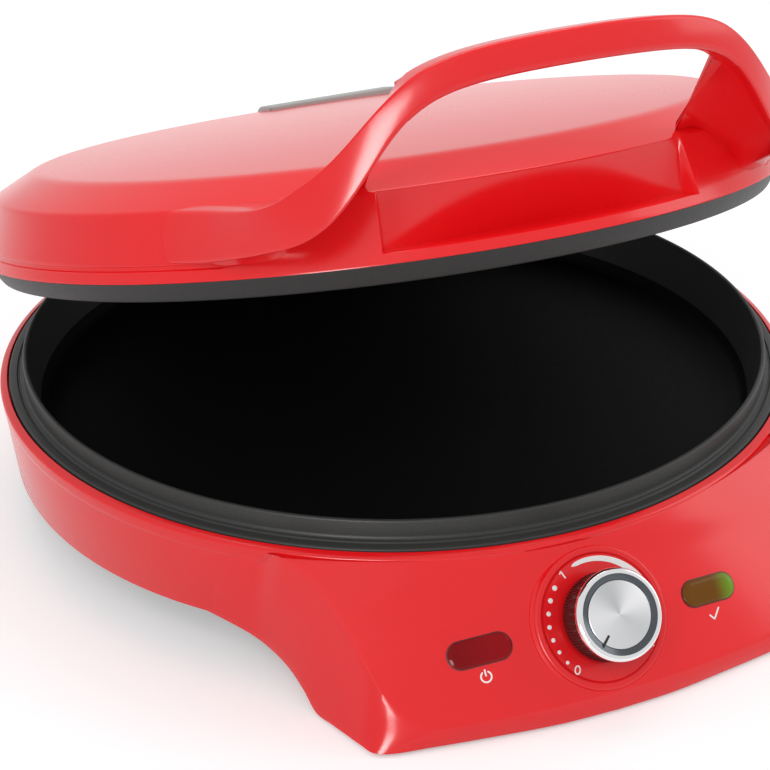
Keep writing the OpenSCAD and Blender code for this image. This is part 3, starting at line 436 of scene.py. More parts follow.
FINISHES = {
    "red_plastic": gloss_red,
    "liner_plastic": liner_red,
    "knob_plastic": barrel_black,
    "coated_aluminium": pan_coat,
    "rim_aluminium": rim_coat,
    "screw_steel": zinc(),
    "wire_sleeve": woven(),
    "lens_red": lens_red,
    "lens_green": lens_green,
    "lamp_glass": clear_glass(),
    "knob_chrome": chrome,
    "knob_aluminium": spun,
    "pointer_black": pointer_black,
    "grey_plastic": strip_grey}
FINISHES.update({name: moulded(name, *given) for name, given in PLAIN.items()})

for part in frame["record"]["subparts"]:
    node = frame["nodes"][part["node"]]
    node.data.materials.clear()
    node.data.materials.append(FINISHES[part["material_slot"]])
print("finishes:", len(FINISHES))

# %% [markdown]
# ## Tools for shaping
#
# A moulding is mostly two things: an outline that is swept, and an edge that
# is never sharp. The helpers below round the corners of an outline, lay rows
# of points into a skin of four-sided faces, turn a profile round an axis and
# build a slab whose edges are eased. Every finished piece is welded, its faces
# are turned outwards, and it is handed to the body that it moves with.


# %% Outlines
def soften(points, radius, steps=4, closed=True):
    """Rounds the corners of an outline; radius is one number or one per corner."""
    count = len(points)
    radii = radius if isinstance(radius, (list, tuple)) else [radius] * count
    out = []
    for i, corner in enumerate(points):
        corner = Vector(corner)
        if radii[i] <= 0 or (not closed and i in (0, count - 1)):
            out.append(tuple(corner))
            continue
        before = Vector(points[i - 1]) - corner
        after = Vector(points[(i + 1) % count]) - corner
        reach = min(radii[i], before.length * 0.48, after.length * 0.48)
        start = corner + before.normalized() * reach
        end = corner + after.normalized() * reach
        for k in range(steps + 1):
            t = k / steps
            out.append(tuple(start * (1 - t) ** 2 + corner * (2 * t * (1 - t)) + end * t ** 2))
    return out


def smooth_line(points, per):
    """A smooth curve through the points, with per steps from each to the next."""
    ends = [Vector(p) for p in points]
    ends = [2 * ends[0] - ends[1]] + ends + [2 * ends[-1] - ends[-2]]
    out = []
    for a, b, c, d in zip(ends, ends[1:], ends[2:], ends[3:]):
        for k in range(per):
            t = k / per
            out.append(0.5 * (2 * b + (c - a) * t + (2 * a - 5 * b + 4 * c - d) * t ** 2
                              + (3 * b - a - 3 * c + d) * t ** 3))
    return out + [ends[-2]]


def inset(outline, depth):
    """Moves a counter-clockwise outline inwards by depth."""
    out = []
    for i, point in enumerate(outline):
        here = Vector(point)
        one = (here - Vector(outline[i - 1])).normalized()
        two = (Vector(outline[(i + 1) % len(outline)]) - here).normalized()
        normal = Vector((-one.y - two.y, one.x + two.x))
        out.append(here + normal * (depth / max(0.4, 1 + one.dot(two))))
    return out


def eased(low, high, radius, steps=3):
    """Levels of a slab with rounded edges, as pairs of inset and height."""
    turns = [math.pi / 2 * k / steps for k in range(steps + 1)]
    bottom = [(radius * (1 - math.sin(a)), low + radius * (1 - math.cos(a))) for a in turns]
    return bottom + [(depth, high + low - level) for depth, level in reversed(bottom)]


def circle_y(radius, x):
    """How far along Y a circle round the origin reaches at that x."""
    return math.sqrt(radius ** 2 - x ** 2)


def mirrored(points):
    return [Vector((-p[0], *p[1:])) for p in points]


def both_sides(right):
    """A line that starts on the middle plane, with its mirror image before it."""
    return mirrored(right)[:0:-1] + right


def soft_step(value, low, high):
    t = min(1.0, max(0.0, (value - low) / (high - low)))
    return t * t * (3 - 2 * t)


print("outline tools are ready")


# %% Skins
class Skin:
    """Points in millimetres, faces, and a finish number for each face."""

    def __init__(self):
        self.points = []
        self.faces = []
        self.kinds = []

    def grid(self, rows, closed=False, kind=0):
        """Lays rows of points into four-sided faces; closed joins each row's ends."""
        start = len(self.points)
        wide = len(rows[0])
        for row in rows:
            self.points += [tuple(p) for p in row]
        for r in range(len(rows) - 1):
            for c in range(wide if closed else wide - 1):
                a = start + r * wide + c
                b = start + r * wide + (c + 1) % wide
                self.faces.append((a, b, b + wide, a + wide))
                self.kinds.append(kind(r, c) if callable(kind) else kind)
        return self

    def cap(self, row, kind=0):
        """Closes a row of points with one face."""
        start = len(self.points)
        self.points += [tuple(p) for p in row]
        self.faces.append(tuple(range(start, start + len(row))))
        self.kinds.append(kind)
        return self

    def tube(self, rows, kind=0):
        """A closed body from rings of points, with both ends capped."""
        return self.grid(rows, True, kind).cap(rows[0], kind).cap(rows[-1], kind)

    def turned(self, profile, steps=180, kind=0, place=None):
        """Turns a closed profile of (r, z) once round the Z axis."""
        put = place or (lambda x, y, z: (x, y, z))
        rows = []
        for k in range(steps):
            angle = 2 * math.pi * k / steps
            rows.append([put(r * math.sin(angle), -r * math.cos(angle), z) for r, z in profile])
        return self.grid(rows + rows[:1], True, (lambda r, c: kind[c]) if
                         isinstance(kind, list) else kind)

    def slab(self, outline, levels, place, kind=0):
        """A plate with the given outline; place puts (x, y, height) in space."""
        rows = [[place(p[0], p[1], level) for p in inset(outline, depth)]
                for depth, level in levels]
        return self.tube(rows, kind)


HINGE_Y = 184.0
HINGE_Z = 56.7
LID_OPEN = math.radians(17.0)
BEVEL_OVER = 26
WELD, WELD_COPY = 2e-6, 1e-6


def lid_turn(point):
    """Moves a point of the closed lid to where the lid stands."""
    x, y, z = point
    back, up = y - HINGE_Y, z - HINGE_Z
    return (x, HINGE_Y + back * math.cos(LID_OPEN) + up * math.sin(LID_OPEN),
            HINGE_Z - back * math.sin(LID_OPEN) + up * math.cos(LID_OPEN))


def hand_over(name, mesh, sharp, body, stands_for):
    """Shades a mesh, puts it into the scene and gives it to the body it moves with."""
    mesh.shade_smooth()
    mesh.set_sharp_from_angle(angle=math.radians(sharp))
    thing = link(name, mesh)
    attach(thing, body)
    if stands_for:
        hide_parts(*stands_for)
    print(f"{name}: {len(mesh.polygons)} faces")


def piece(name, skin, finishes, body, stands_for=(), sharp=38, lid=False,
          bevel=0.0):
    """Makes an object of a skin, welded, facing outwards and smooth."""
    points = [lid_turn(p) for p in skin.points] if lid else skin.points
    mesh = bpy.data.meshes.new(name)
    mesh.from_pydata([tuple(Vector(p) * MM) for p in points], [], skin.faces)
    mesh.polygons.foreach_set("material_index", skin.kinds)
    build = bmesh.new()
    build.from_mesh(mesh)
    bmesh.ops.remove_doubles(build, verts=build.verts, dist=WELD)
    bmesh.ops.dissolve_degenerate(build, edges=build.edges, dist=1e-7)
    bmesh.ops.recalc_face_normals(build, faces=build.faces)
    if bevel:
        edges = [e for e in build.edges if len(e.link_faces) == 2
                 and e.calc_face_angle(0) > math.radians(BEVEL_OVER)]
        bmesh.ops.bevel(build, geom=edges, offset=bevel * MM, offset_type="OFFSET", segments=3,
                        profile=0.5, affect="EDGES", clamp_overlap=True)
        bmesh.ops.recalc_face_normals(build, faces=build.faces)
    build.to_mesh(mesh)
    build.free()
    for finish in finishes:
        mesh.materials.append(finish)
    hand_over(name, mesh, sharp, body, stands_for)


print("skin tools are ready")


# %% [markdown]
# ## Copies with Geometry Nodes
#
# Dots, grip ribs and screw heads repeat one small shape. The shape is made
# once; a node group then sets it on every point of a list, turned and sized by
# the point's own attributes. The result is baked into one plain mesh.


# %% The copying node group
COPY_INPUTS = {"Geometry": "NodeSocketGeometry", "Shape": "NodeSocketObject",
               "Size": "NodeSocketFloat", "Finish": "NodeSocketMaterial"}
SHARP_COPY = 35


def copy_group():
    group = bpy.data.node_groups.new("copies", "GeometryNodeTree")
    group.interface.new_socket("Geometry", in_out="OUTPUT", socket_type="NodeSocketGeometry")
    for label, kind in COPY_INPUTS.items():
        group.interface.new_socket(label, in_out="INPUT", socket_type=kind)
    nodes = Nodes(group)
    given = {label: nodes.add("NodeGroupInput", {}, {}, label) for label in COPY_INPUTS}
    shape = nodes.add("GeometryNodeObjectInfo", {}, {"Object": given["Shape"]}, "Geometry")
    turn = nodes.add("GeometryNodeInputNamedAttribute", {"data_type": "FLOAT_VECTOR"},
                     {"Name": "turn"}, "Attribute")
    size = nodes.add("GeometryNodeInputNamedAttribute", {"data_type": "FLOAT"},
                     {"Name": "size"}, "Attribute")
    placed = nodes.add("GeometryNodeInstanceOnPoints", {}, {
        "Points": given["Geometry"],
        "Instance": shape,
        "Rotation": nodes.add("FunctionNodeEulerToRotation", {}, {"Euler": turn}),
        "Scale": size * given["Size"]})
    real = nodes.add("GeometryNodeRealizeInstances", {}, {"Geometry": placed})
    painted = nodes.add("GeometryNodeSetMaterial", {}, {"Geometry": real,
                                                        "Material": given["Finish"]})
    nodes.add("NodeGroupOutput", {}, {"Geometry": painted})
    return group


COPIES = copy_group()


def copies(name, shape, spots, finish, body, stands_for=(), size=1.0):
    """Sets a shape on every spot: a place in mm, a turn in radians and a size."""
    small = bpy.data.meshes.new(name + "_shape")
    small.from_pydata([tuple(Vector(p) * MM) for p in shape.points], [], shape.faces)
    build = bmesh.new()
    build.from_mesh(small)
    bmesh.ops.remove_doubles(build, verts=build.verts, dist=WELD_COPY)
    bmesh.ops.recalc_face_normals(build, faces=build.faces)
    build.to_mesh(small)
    build.free()
    model = bpy.data.objects.new(name + "_shape", small)
    points = bpy.data.meshes.new(name + "_points")
    points.from_pydata([tuple(Vector(spot[0]) * MM) for spot in spots], [], [])
    turns = points.attributes.new("turn", "FLOAT_VECTOR", "POINT")
    turns.data.foreach_set("vector", [v for spot in spots for v in spot[1]])
    sizes = points.attributes.new("size", "FLOAT", "POINT")
    sizes.data.foreach_set("value", [spot[2] for spot in spots])
    holder = link(name + "_holder", points)
    modifier = holder.modifiers.new("copies", "NODES")
    modifier.node_group = COPIES
    given = {"Shape": model, "Size": size, "Finish": finish}
    for socket in COPIES.interface.items_tree:
        if socket.in_out == "INPUT" and socket.name in given:
            modifier[socket.identifier] = given[socket.name]
    graph = bpy.context.evaluated_depsgraph_get()
    graph.update()
    mesh = bpy.data.meshes.new_from_object(holder.evaluated_get(graph))
    mesh.name = name
    bpy.data.objects.remove(holder)
    bpy.data.objects.remove(model)
    hand_over(name, mesh, SHARP_COPY, body, stands_for)


print("copying group has", len(COPIES.nodes), "nodes")

# %% [markdown]
# ## The ring of the housing
#
# A turned wall that leans in slightly. Its top is a narrow lip that slopes up
# to the pan's flange; its outer edge is rounded and catches a thin line of
# light. Below the lip runs a very shallow step.

# %% Ring
ring_outline = soften(
    [(161.9, 22.0), (164.5, 22.0), (168.1, 52.4), (168.5, 53.6), (168.9, 57.8), (168.1, 58.6),
     (165.9, 59.5), (165.6, 59.2), (165.6, 56.1), (158.0, 56.1), (158.0, 53.0), (164.6, 53.0)],
    [0.4, 0.9, 1.2, 0.9, 0.9, 0.5, 0.3, 0.3, 0.3, 0.6, 0.6, 1.2])
piece("housing_ring", Skin().turned(ring_outline, 240), [gloss_red], "base",
      ["base_housing"])

# %% [markdown]
# ## The console
#
# The sloping panel is part of a blunt cone: it is as round as the pan at its
# top and flatter at the table. It ends in a soft crease that runs down beside
# the panel, turns under the lamps and becomes an upright front band. Beyond
# the crease the side flares out to the foot. The panel is spanned between its
# low edge, its two sides and its top, and the band and the sides are ruled from
# the crease to the foot.

# %% The panel's surface
SLOPE_LENGTH = math.hypot(CONSOLE_FRONT - SLOPE_TOP_R, SLOPE_TOP_Z - BAND_Z)
CURVE_TOP = SLOPE_TOP_R / math.cos(TILT)
CURVE_LOW = FRONT_CURVE / math.cos(TILT)
CONE = math.atan2(CURVE_LOW - CURVE_TOP, SLOPE_LENGTH)
APEX_UP = CURVE_TOP / math.tan(CONE) + SLOPE_LENGTH - DIAL_UP


def panel_drop(x, up):
    """How far the cone lies behind the dial's flat plane at a point of the panel."""
    gap = APEX_UP - up
    square = math.cos(2 * CONE)
    linear = gap * math.sin(2 * CONE)
    constant = (math.cos(CONE) * x) ** 2
    return (math.sqrt(linear ** 2 - 4 * square * constant) - linear) / (2 * square)


def on_panel(x, up, out=0.0):
    """A point of the panel, or at a distance out in front of it."""
    return DIAL + ACROSS * x + UPWARD * up + OUTWARD * (panel_drop(x, up) + out)


def panel_up(x, z):
    """How far up the slope the panel reaches the height z."""
    up = 0.0
    for _ in range(30):
        up = (z - DIAL.z - panel_drop(x, up) * OUTWARD.z) / UPWARD.z
    return up


def panel_frame(x, up):
    """Origin and axes of the panel's tangent plane at a point."""
    origin = on_panel(x, up)
    across = (on_panel(x + 0.1, up) - on_panel(x - 0.1, up)).normalized()
    upward = (on_panel(x, up + 0.1) - on_panel(x, up - 0.1)).normalized()
    return origin, across, upward, across.cross(upward)


def placer(origin, across, upward, outward):
    """A function that puts (x, y, height) into a tangent plane."""
    return lambda x, y, h: origin + across * x + upward * y + outward * h


LENS_X, LENS_DROP, LENS_LONG, LENS_WIDE = 48.5, 0.6, 24.5, 10.0
print("panel at the lens, mm behind the plane:", round(panel_drop(LENS_X, -LENS_DROP), 2))

# %% The crease and the foot
CREASE = [(0, 9.6), (25, 9.4), (53, 9.0), (68, 8.8), (76, 10.7), (82.2, 14.4), (86.0, 19.5),
          (88.8, 26.0), (91.3, 34.0), (94.4, 43.0), (98.0, 50.0), (102.0, 54.6), (106.8, 58.2)]
FOOT = [(0, -201.4, 1.4), (25.3, -200.3, 1.4), (55.0, -196.2, 1.4), (73.5, -193.2, 1.4),
        (86.5, -191.0, 1.4), (93.3, -187.6, 1.4), (95.8, -181.0, 1.4), (98.0, -173.5, 1.4),
        (100.4, -165.5, 1.4), (103.0, -156.5, 1.6), (104.8, -148.5, 7.6), (107.0, -139.0, 12.4),
        (110.5, -128.6, 15.6)]
TAIL_HIGH = [(110.2, -127.4, 56.6), (114.6, -123.5, 56.2), (119.5, -118.6, 56.0),
             (124.4, -113.2, 55.8)]
TAIL_LOW = [(114.4, -121.4, 17.9), (118.6, -115.4, 19.6), (123.6, -108.8, 21.4),
            (128.6, -101.2, 22.6)]
CORNER = 5
PER = 6
LIP_RISE, LIP_FROM, LIP_TO = 0.7, 17.0, 28.0


def on_console(point):
    """The panel rises a little at its top, to end flush with the ring's lip."""
    return on_panel(point.x, point.y, LIP_RISE * soft_step(point.y, LIP_FROM, LIP_TO))


crease_line = smooth_line([Vector((x, panel_up(x, z))) for x, z in CREASE], PER)
side_edge = crease_line[CORNER * PER:]
low_edge = both_sides(crease_line[:CORNER * PER + 1])
print("points along the panel's low edge:", len(low_edge))

# %% The panel between its four edges
TOP_DIP = 1.2
LAST = len(low_edge) - 1
top_edge = []
for k in range(LAST + 1):
    x = CREASE[-1][0] * (2 * k / LAST - 1)
    lift = CREASE[-1][1] - TOP_DIP + TOP_DIP * (abs(x) / CREASE[-1][0]) ** 4
    top_edge.append(Vector((x, panel_up(x, lift))))


def panel_row(b, left, right):
    """A row of the panel at a share b of the way up, between two side points."""
    first, last = mirrored([side_edge[0], side_edge[-1]])
    row = []
    for i in range(LAST + 1):
        a = i / LAST
        ruled = low_edge[i] * (1 - b) + top_edge[i] * b + left * (1 - a) + right * a
        corners = ((first * (1 - a) + side_edge[0] * a) * (1 - b)
                   + (last * (1 - a) + side_edge[-1] * a) * b)
        row.append(on_console(ruled - corners))
    return row


steps_up = len(side_edge) - 1
panel_rows = [panel_row(j / steps_up, left, right)
              for j, (left, right) in enumerate(zip(mirrored(side_edge), side_edge))]
print("rows up the panel:", len(panel_rows))

# %% The band and the sides
BAND_ROWS = 10
BULGE = 0.4
crease_right = [on_console(p) for p in crease_line]
tail_line = smooth_line([tuple(p) for p in crease_right[-PER - 1::PER]] + TAIL_HIGH, PER)
upper = both_sides(crease_right + tail_line[PER + 1:])
lower = both_sides(smooth_line(FOOT + TAIL_LOW, PER))


def band_row(share):
    """The side at a share of the way down, a little rounder than ruled."""
    row = []
    for high, low in zip(upper, lower):
        point = high * (1 - share) + low * share
        out = Vector((point.x, point.y, 0)).normalized()
        row.append(point + out * (BULGE * math.sin(math.pi * share)))
    return row


band_rows = [band_row(j / BAND_ROWS) for j in range(BAND_ROWS + 1)]
print("points round the console:", len(upper))

# %% The inside and the ends
WALL, WALL_AIM = 2.6, -150
WELL_Z, WELL_RISE = 4.4, 1.2
BACK_R, BACK_SHARE = 163.0, 0.995
BACK_LEVELS = (54.0, 27.0)
REAR_Y, REAR_Z = -128.0, 22.4
REAR_LIFT, LIFT_FROM, LIFT_TO = 15.6, 78, 98
TAIL_STEPS = len(TAIL_HIGH) * PER

rim_row = []
for p in lower:
    inward = Vector((-p.x, max(0.0, WALL_AIM - p.y), 0)).normalized()
    rim_row.append(p + inward * WALL)
well_row = [Vector((p.x, p.y, max(WELL_Z, p.z + WELL_RISE))) for p in rim_row]


def back_rows():
    """From the panel's top edge down within the ring's wall, then back under the pan."""
    rows = [[on_console(p) for p in top_edge]]
    across = [p.x for p in rows[0]]
    for z in BACK_LEVELS:
        rows.append([Vector((x * BACK_SHARE, -circle_y(BACK_R, x * BACK_SHARE), z))
                     for x in across])
    rows.append([Vector((x, REAR_Y, REAR_Z)) for x in across])
    rows.append([Vector((x, REAR_Y, WELL_Z + REAR_LIFT * soft_step(abs(x), LIFT_FROM, LIFT_TO)))
                 for x in across])
    return rows


behind = back_rows()


def end_cap(end, tail):
    """Closes one end: down behind the panel, along the foot and up the side."""
    inside = [row[end] for row in behind] + [well_row[end], rim_row[end]]
    return inside + [row[end] for row in reversed(band_rows)] + tail


console_skin = Skin()
for rows in (panel_rows, band_rows, [lower, rim_row, well_row], behind):
    console_skin.grid(rows)
console_skin.cap(well_row + behind[-1][::-1])
console_skin.cap(end_cap(-1, upper[-2:-TAIL_STEPS - 1:-1]))
console_skin.cap(end_cap(0, upper[1:TAIL_STEPS]))
piece("console", console_skin, [gloss_red], "base", ["console_housing"],
      bevel=0.8)


# %% [markdown]
# ## The hinge block
#
# At the rear a block carries the cord inlet and the two posts of the hinge.
# Its front follows the ring, and its edges are eased by about two millimetres.

# %% Hinge block and posts
BLOCK_HALF = 62.0
BLOCK_BACK = 198.0
BLOCK_FRONT = 163.0
BLOCK_TOP = 47.0
BLOCK_EASE = 2.2
BLOCK_CORNER = 5.0
FOOT_Z = 1.4
POST_IN, POST_WIDE, KNUCKLE = 38.5, 12.0, 9.0
ARC_STEPS = 24


def block_outline():
    front, back = [], []
    for k in range(ARC_STEPS + 1):
        x = BLOCK_HALF - 2 * BLOCK_HALF * k / ARC_STEPS
        front.append((-x, circle_y(BLOCK_FRONT, x)))
        back.append((x, circle_y(BLOCK_BACK, x)))
    radii = [BLOCK_CORNER] + [0.0] * (len(back) - 2) + [BLOCK_CORNER]
    return soften(front + back, [0.0] * len(front) + radii, 5)


block_skin = Skin().slab(block_outline(), eased(FOOT_Z, BLOCK_TOP, BLOCK_EASE, 5),
                         lambda x, y, h: Vector((x, y, h)))
knuckle_arc = [(HINGE_Y + KNUCKLE * math.cos(a), HINGE_Z + KNUCKLE * math.sin(a))
               for a in [math.pi * k / ARC_STEPS for k in range(ARC_STEPS + 1)]]
post_outline = [(HINGE_Y - KNUCKLE, BLOCK_TOP - 2), (HINGE_Y + KNUCKLE, BLOCK_TOP - 2)]
post_outline += knuckle_arc
for side in (-1, 1):
    middle = side * (POST_IN + POST_WIDE / 2)
    block_skin.slab(post_outline, eased(middle - POST_WIDE / 2, middle + POST_WIDE / 2, 1.0, 4),
                    lambda y, z, x: Vector((x, y, z)))
piece("rear_block", block_skin, [gloss_red], "base", ["hinge_block"])

# %% [markdown]
# ## The pan
#
# Cast aluminium with a flange that rests in the ring, a raised lip that seals
# against the lid, and a flat floor. A fine groove runs round the flange. The
# floor and the wall inside the lip get a darker, less glossy copy of the
# coating: painted shade under the lid.

# %% Pan
pan_points = [
    (0, 39.5), (151.8, 39.5), (153.8, 41.0), (156.8, 56.0), (165.0, 56.0), (165.0, 60.0),
    (161.5, 60.3), (161.2, 59.7), (160.7, 59.7), (160.3, 60.4), (159.0, 60.6), (158.6, 61.6),
    (158.6, 68.5), (156.8, 68.5), (152.0, 46.0), (149.6, 42.5), (0, 42.5)]
pan_radii = [0, 0.8, 0.8, 0.6, 0.4, 1.0, 0.25, 0.2, 0.2, 0.25, 0.5, 0.8, 0.9, 0.9, 2.4, 3.5, 0]
pan_profile = soften(pan_points, pan_radii)
# Faces inside the lip get the darker coating, which is painted shade.
inside_from = next(i for i, p in enumerate(pan_profile) if p[0] < 156.9 and p[1] > 60)
pan_kinds = [1 if i > inside_from + 1 and p[1] > 42.4 else 0 for i, p in enumerate(pan_profile)]
piece("pan", Skin().turned(pan_profile, 240, pan_kinds), [pan_coat, shaded_pan_coat], "base",
      ["lower_pan"])

# %% [markdown]
# ## The lid's heated plate
#
# The plate shows as a dark band round the lid's lower edge. It hangs a little
# below the red shell and flares out to meet it.

# %% Plate
plate_profile = soften(
    [(0, 69.1), (158.1, 69.1), (159.4, 67.8), (159.6, 61.8), (161.6, 61.8), (166.2, 68.6),
     (166.9, 69.6), (164.6, 69.6), (162.6, 71.5), (0, 71.5)],
    [0, 0.8, 0.8, 0.5, 0.9, 0.6, 0.3, 0.3, 0.3, 0])
piece("plate", Skin().turned(plate_profile, 240), [rim_coat], "lid",
      ["upper_plate"], lid=True)

# %% [markdown]
# ## The lid
#
# The shell is round in plan: a side wall, a bevel and a low dome. At the front
# a pocket is pressed into the wall under the handle, with a narrow ledge at
# its foot, and a shallow groove runs round the rest of the wall. The whole
# outside is one sheet of faces: each point keeps its direction from the lid's
# axis, and only its distance changes.

# %% The lid's wall
SHELL_Z, SHELL_R = 69.6, 167.4
SIDE_Z, SIDE_R = 94.6, 159.9
BEVEL_Z, BEVEL_R = 103.4, 142.3
CROWN = 4.0
LEDGE_Z = 73.65
POCKET_HALF = 63.0
POCKET_BACK = circle_y(SIDE_R, POCKET_HALF)
POCKET_FROM, POCKET_TO, POCKET_END = 22.5, 22.8, 23.4
POCKET_MIN = 2.4
GROOVE_LOW, GROOVE_HIGH, GROOVE_DEEP = 73.8, 76.2, 0.9
GROOVE_FROM, GROOVE_TO = 42.6, 43.6
DOME_STEPS = 24


def wall_radius(z):
    return SHELL_R - (z - SHELL_Z) * (SHELL_R - SIDE_R) / (SIDE_Z - SHELL_Z)


def lid_profile():
    """Distance and height of the lid's outside, from its lower edge to the top."""
    foot = [(SHELL_R - 0.5, SHELL_Z), (SHELL_R - 0.15, SHELL_Z + 0.15)]
    heights = [70.1, 71.2, 72.4, 73.2, 73.5, 73.6, 73.65, 73.67, 73.8, 74.0, 74.15, 74.3, 74.7,
               75.3, 75.6, 75.8, 75.95, 76.2, 77.5, 79.5, 82.0, 84.5, 87.0, 89.0, 90.6, 91.6]
    wall = [(wall_radius(z), z) for z in heights]
    dome = [(BEVEL_R * k / DOME_STEPS, BEVEL_Z + CROWN * (1 - (k / DOME_STEPS) ** 2))
            for k in range(DOME_STEPS - 1, 0, -1)]
    shoulder = soften([wall[-1], (SIDE_R, SIDE_Z), (BEVEL_R, BEVEL_Z), dome[0]],
                      [0, 1.1, 3.2, 0], 6, closed=False)
    return foot + wall + shoulder[1:-1] + dome


def lid_radius(turn, radius, z):
    """The wall's distance from the axis with its pocket and groove."""
    angle = abs(turn)
    if LEDGE_Z - 0.2 < z < SIDE_Z and angle < POCKET_END:
        rise = (z - LEDGE_Z) / (SIDE_Z - LEDGE_Z)
        straight = POCKET_BACK / math.cos(math.radians(angle))
        back = min(straight * (1 - rise) + (SIDE_R - 0.6) * rise,
                   radius - POCKET_MIN * (1 - rise))
        share = 1 - soft_step(angle, POCKET_FROM, POCKET_TO)
        share *= soft_step(z, LEDGE_Z - 0.06, LEDGE_Z + 0.1)
        radius -= max(0.0, radius - back) * share
    if GROOVE_LOW < z < GROOVE_HIGH:
        depth = GROOVE_DEEP * soft_step(angle, GROOVE_FROM, GROOVE_TO)
        radius -= depth * soft_step(z, 73.85, 74.3) * (1 - soft_step(z, 75.5, 76.1))
    return radius


def lid_turns():
    """Directions round the lid in degrees, closer together at the front."""
    front = [k * 0.65 for k in range(35)]
    edge = [22.5, 22.58, 22.66, 22.72, 22.8, 23.1]
    rest = [23.8, 24.6] + [26 + 1.5 * k for k in range(11)] + [42.6, 42.9, 43.2, 43.6]
    back = [45 + 2.5 * k for k in range(54)] + [180]
    half = front + edge + rest + back
    return [-t for t in half[-2:0:-1]] + half


def round_row(radius, z, shaped=True):
    """A ring of points at one height, with the pocket and groove if it is shaped."""
    row = []
    for turn in lid_turns():
        r = lid_radius(turn, radius, z) if shaped else radius
        row.append((r * math.sin(math.radians(turn)), -r * math.cos(math.radians(turn)), z))
    return row


INSIDE = ((164.9, SHELL_Z), (164.4, 72.0), (150.0, 72.2))
outer_rows = [round_row(radius, z) for radius, z in lid_profile()]
inner_rows = outer_rows[:1] + [round_row(radius, z, False) for radius, z in INSIDE]
shell = Skin().grid(outer_rows, True).cap(outer_rows[-1])
shell.grid(inner_rows, True).cap(inner_rows[-1])
piece("lid", shell, [gloss_red], "lid", ["lid_shell"], lid=True, sharp=32)

# %% [markdown]
# ## The handle
#
# One bow of plastic springs from both sides of the lid, rises over the pocket
# and is thickest where the hand takes it. Its outer face grows out of the lid's
# wall without a step. Beside the opening the bow widens into a web that runs
# back to the lid. It is lofted from cross-sections set along its plan curve.

# %% Handle sections
HANDLE_HALF = 113.0
HANDLE_FRONT = 204.0
HANDLE_CENTRE = 124.0
HANDLE_THICK, HANDLE_THIN = 12.0, 0.45
GRIP_LOW, GRIP_HIGH, GRIP_SAG = 132.4, 144.6, 0.0008
ROOT_LOW, ROOT_DROP = 78.0, 2.6
BOW_HALF, BOW_STEPS = 104.0, 52
WEB_FROM, WEB_MEETS, WEB_FALLS = 63.0, 100.0, 25.5
NEAR_WEB = [62.0, 62.8, 63.0, 63.3, 64.2]
WALL_MIDDLE = 87.0
ROUNDING = [3.2, 4.0, 1.6, 1.2, 1.2, 1.2, 3.0]
ROOT = [(108.0, -147.9), (111.2, -139.9), (113.8, -132.2), (116.4, -124.4), (119.4, -116.8),
        (122.6, -109.4), (125.7, -103.1), (129.0, -97.6), (132.0, -92.6)]


def swell(x, middle, spread):
    """1 in the middle of the bow and 0 towards its roots."""
    return 1 / (1 + math.exp((abs(x) - middle) / spread))


def handle_bottom(x):
    root = ROOT_LOW - ROOT_DROP * soft_step(x, 104, 122)
    return root + (GRIP_LOW - root - GRIP_SAG * x * x) * swell(x, 78, 9)


def handle_top(x):
    root = SIDE_Z + 0.1
    rise = (GRIP_HIGH - root - GRIP_SAG * x * x) * swell(x, 82, 11)
    return root + rise * (1 - soft_step(x, 96, 116))


def bow_point(x):
    """A point of the bow's outer face in plan, which is part of an ellipse."""
    reach = HANDLE_FRONT - HANDLE_CENTRE
    return x, -HANDLE_CENTRE - reach * math.sqrt(1 - (x / HANDLE_HALF) ** 2)


def plan_curve():
    """The outer face in plan, from the middle to one root, closer where the web starts."""
    even = [BOW_HALF * math.sin(math.pi / 2 * k / BOW_STEPS) for k in range(BOW_STEPS + 1)]
    bow = [bow_point(x) for x in sorted([x for x in even if not 61.7 < x < 64.6] + NEAR_WEB)]
    root = smooth_line(bow[-2:] + ROOT, 5)[5:]
    return bow + [tuple(p) for p in root[1:]]


def handle_section(x, y):
    """Cross-section of the handle at a point of its outer face, on the right side."""
    low, high = handle_bottom(x), handle_top(x)
    turn = soft_step(x, 88, 112)
    inward = (Vector((0, 1)) * (1 - turn) + Vector((-x, -y)).normalized() * turn).normalized()
    lean = soft_step(x, 104, 117)
    web = x > WEB_FROM + 0.01
    foot = min(WEB_MEETS - WEB_FALLS * soft_step(x, 60, 112), low + 4.0)
    slim = HANDLE_THICK * (1 - HANDLE_THIN * soft_step(x, 62, 100))

    def to_radius(radius):
        """How far inwards a point at that distance from the lid's axis lies."""
        across = x * inward.x + y * inward.y
        square = across ** 2 - math.hypot(x, y) ** 2 + radius ** 2
        return -across - math.sqrt(max(0.0, square))

    def at(depth, z):
        leant = depth - (wall_radius(min(z, SIDE_Z)) - wall_radius(WALL_MIDDLE)) * lean
        return Vector((x + inward.x * leant, y + inward.y * leant, z))

    inner_top = high - (high - SIDE_Z - 1.2) * soft_step(x, 58, 96)
    wall_depth = max(slim + 1.0, to_radius(wall_radius(foot) - 2.0))
    lid_depth = max(slim + 2.0, to_radius(SIDE_R - 5.0))
    if web:
        inner = [(min(slim, lid_depth - 1), inner_top), (lid_depth, SIDE_Z + 0.8),
                 (wall_depth, foot), (slim * 0.8, low + 2.2)]
    else:
        inner = [(slim, inner_top), (slim, high * 0.6 + low * 0.4),
                 (slim, high * 0.4 + low * 0.6), (slim, low + 0.8)]
    outline = [(0.5, low), (0.0, (low + high) / 2), (0.3, high)] + inner
    return [at(depth, z) for depth, z in soften(outline, ROUNDING, 6)]


half_rows = [handle_section(x, y) for x, y in plan_curve()]
handle_rows = [mirrored(row) for row in half_rows[:0:-1]] + half_rows
piece("handle", Skin().tube(handle_rows), [gloss_red], "lid", ["lid_handle"],
      lid=True, sharp=40)

# %% [markdown]
# ## The grey strip
#
# A separate satin strip covers the right half of the hinge side. Only its left
# end and front edge show in the photograph.

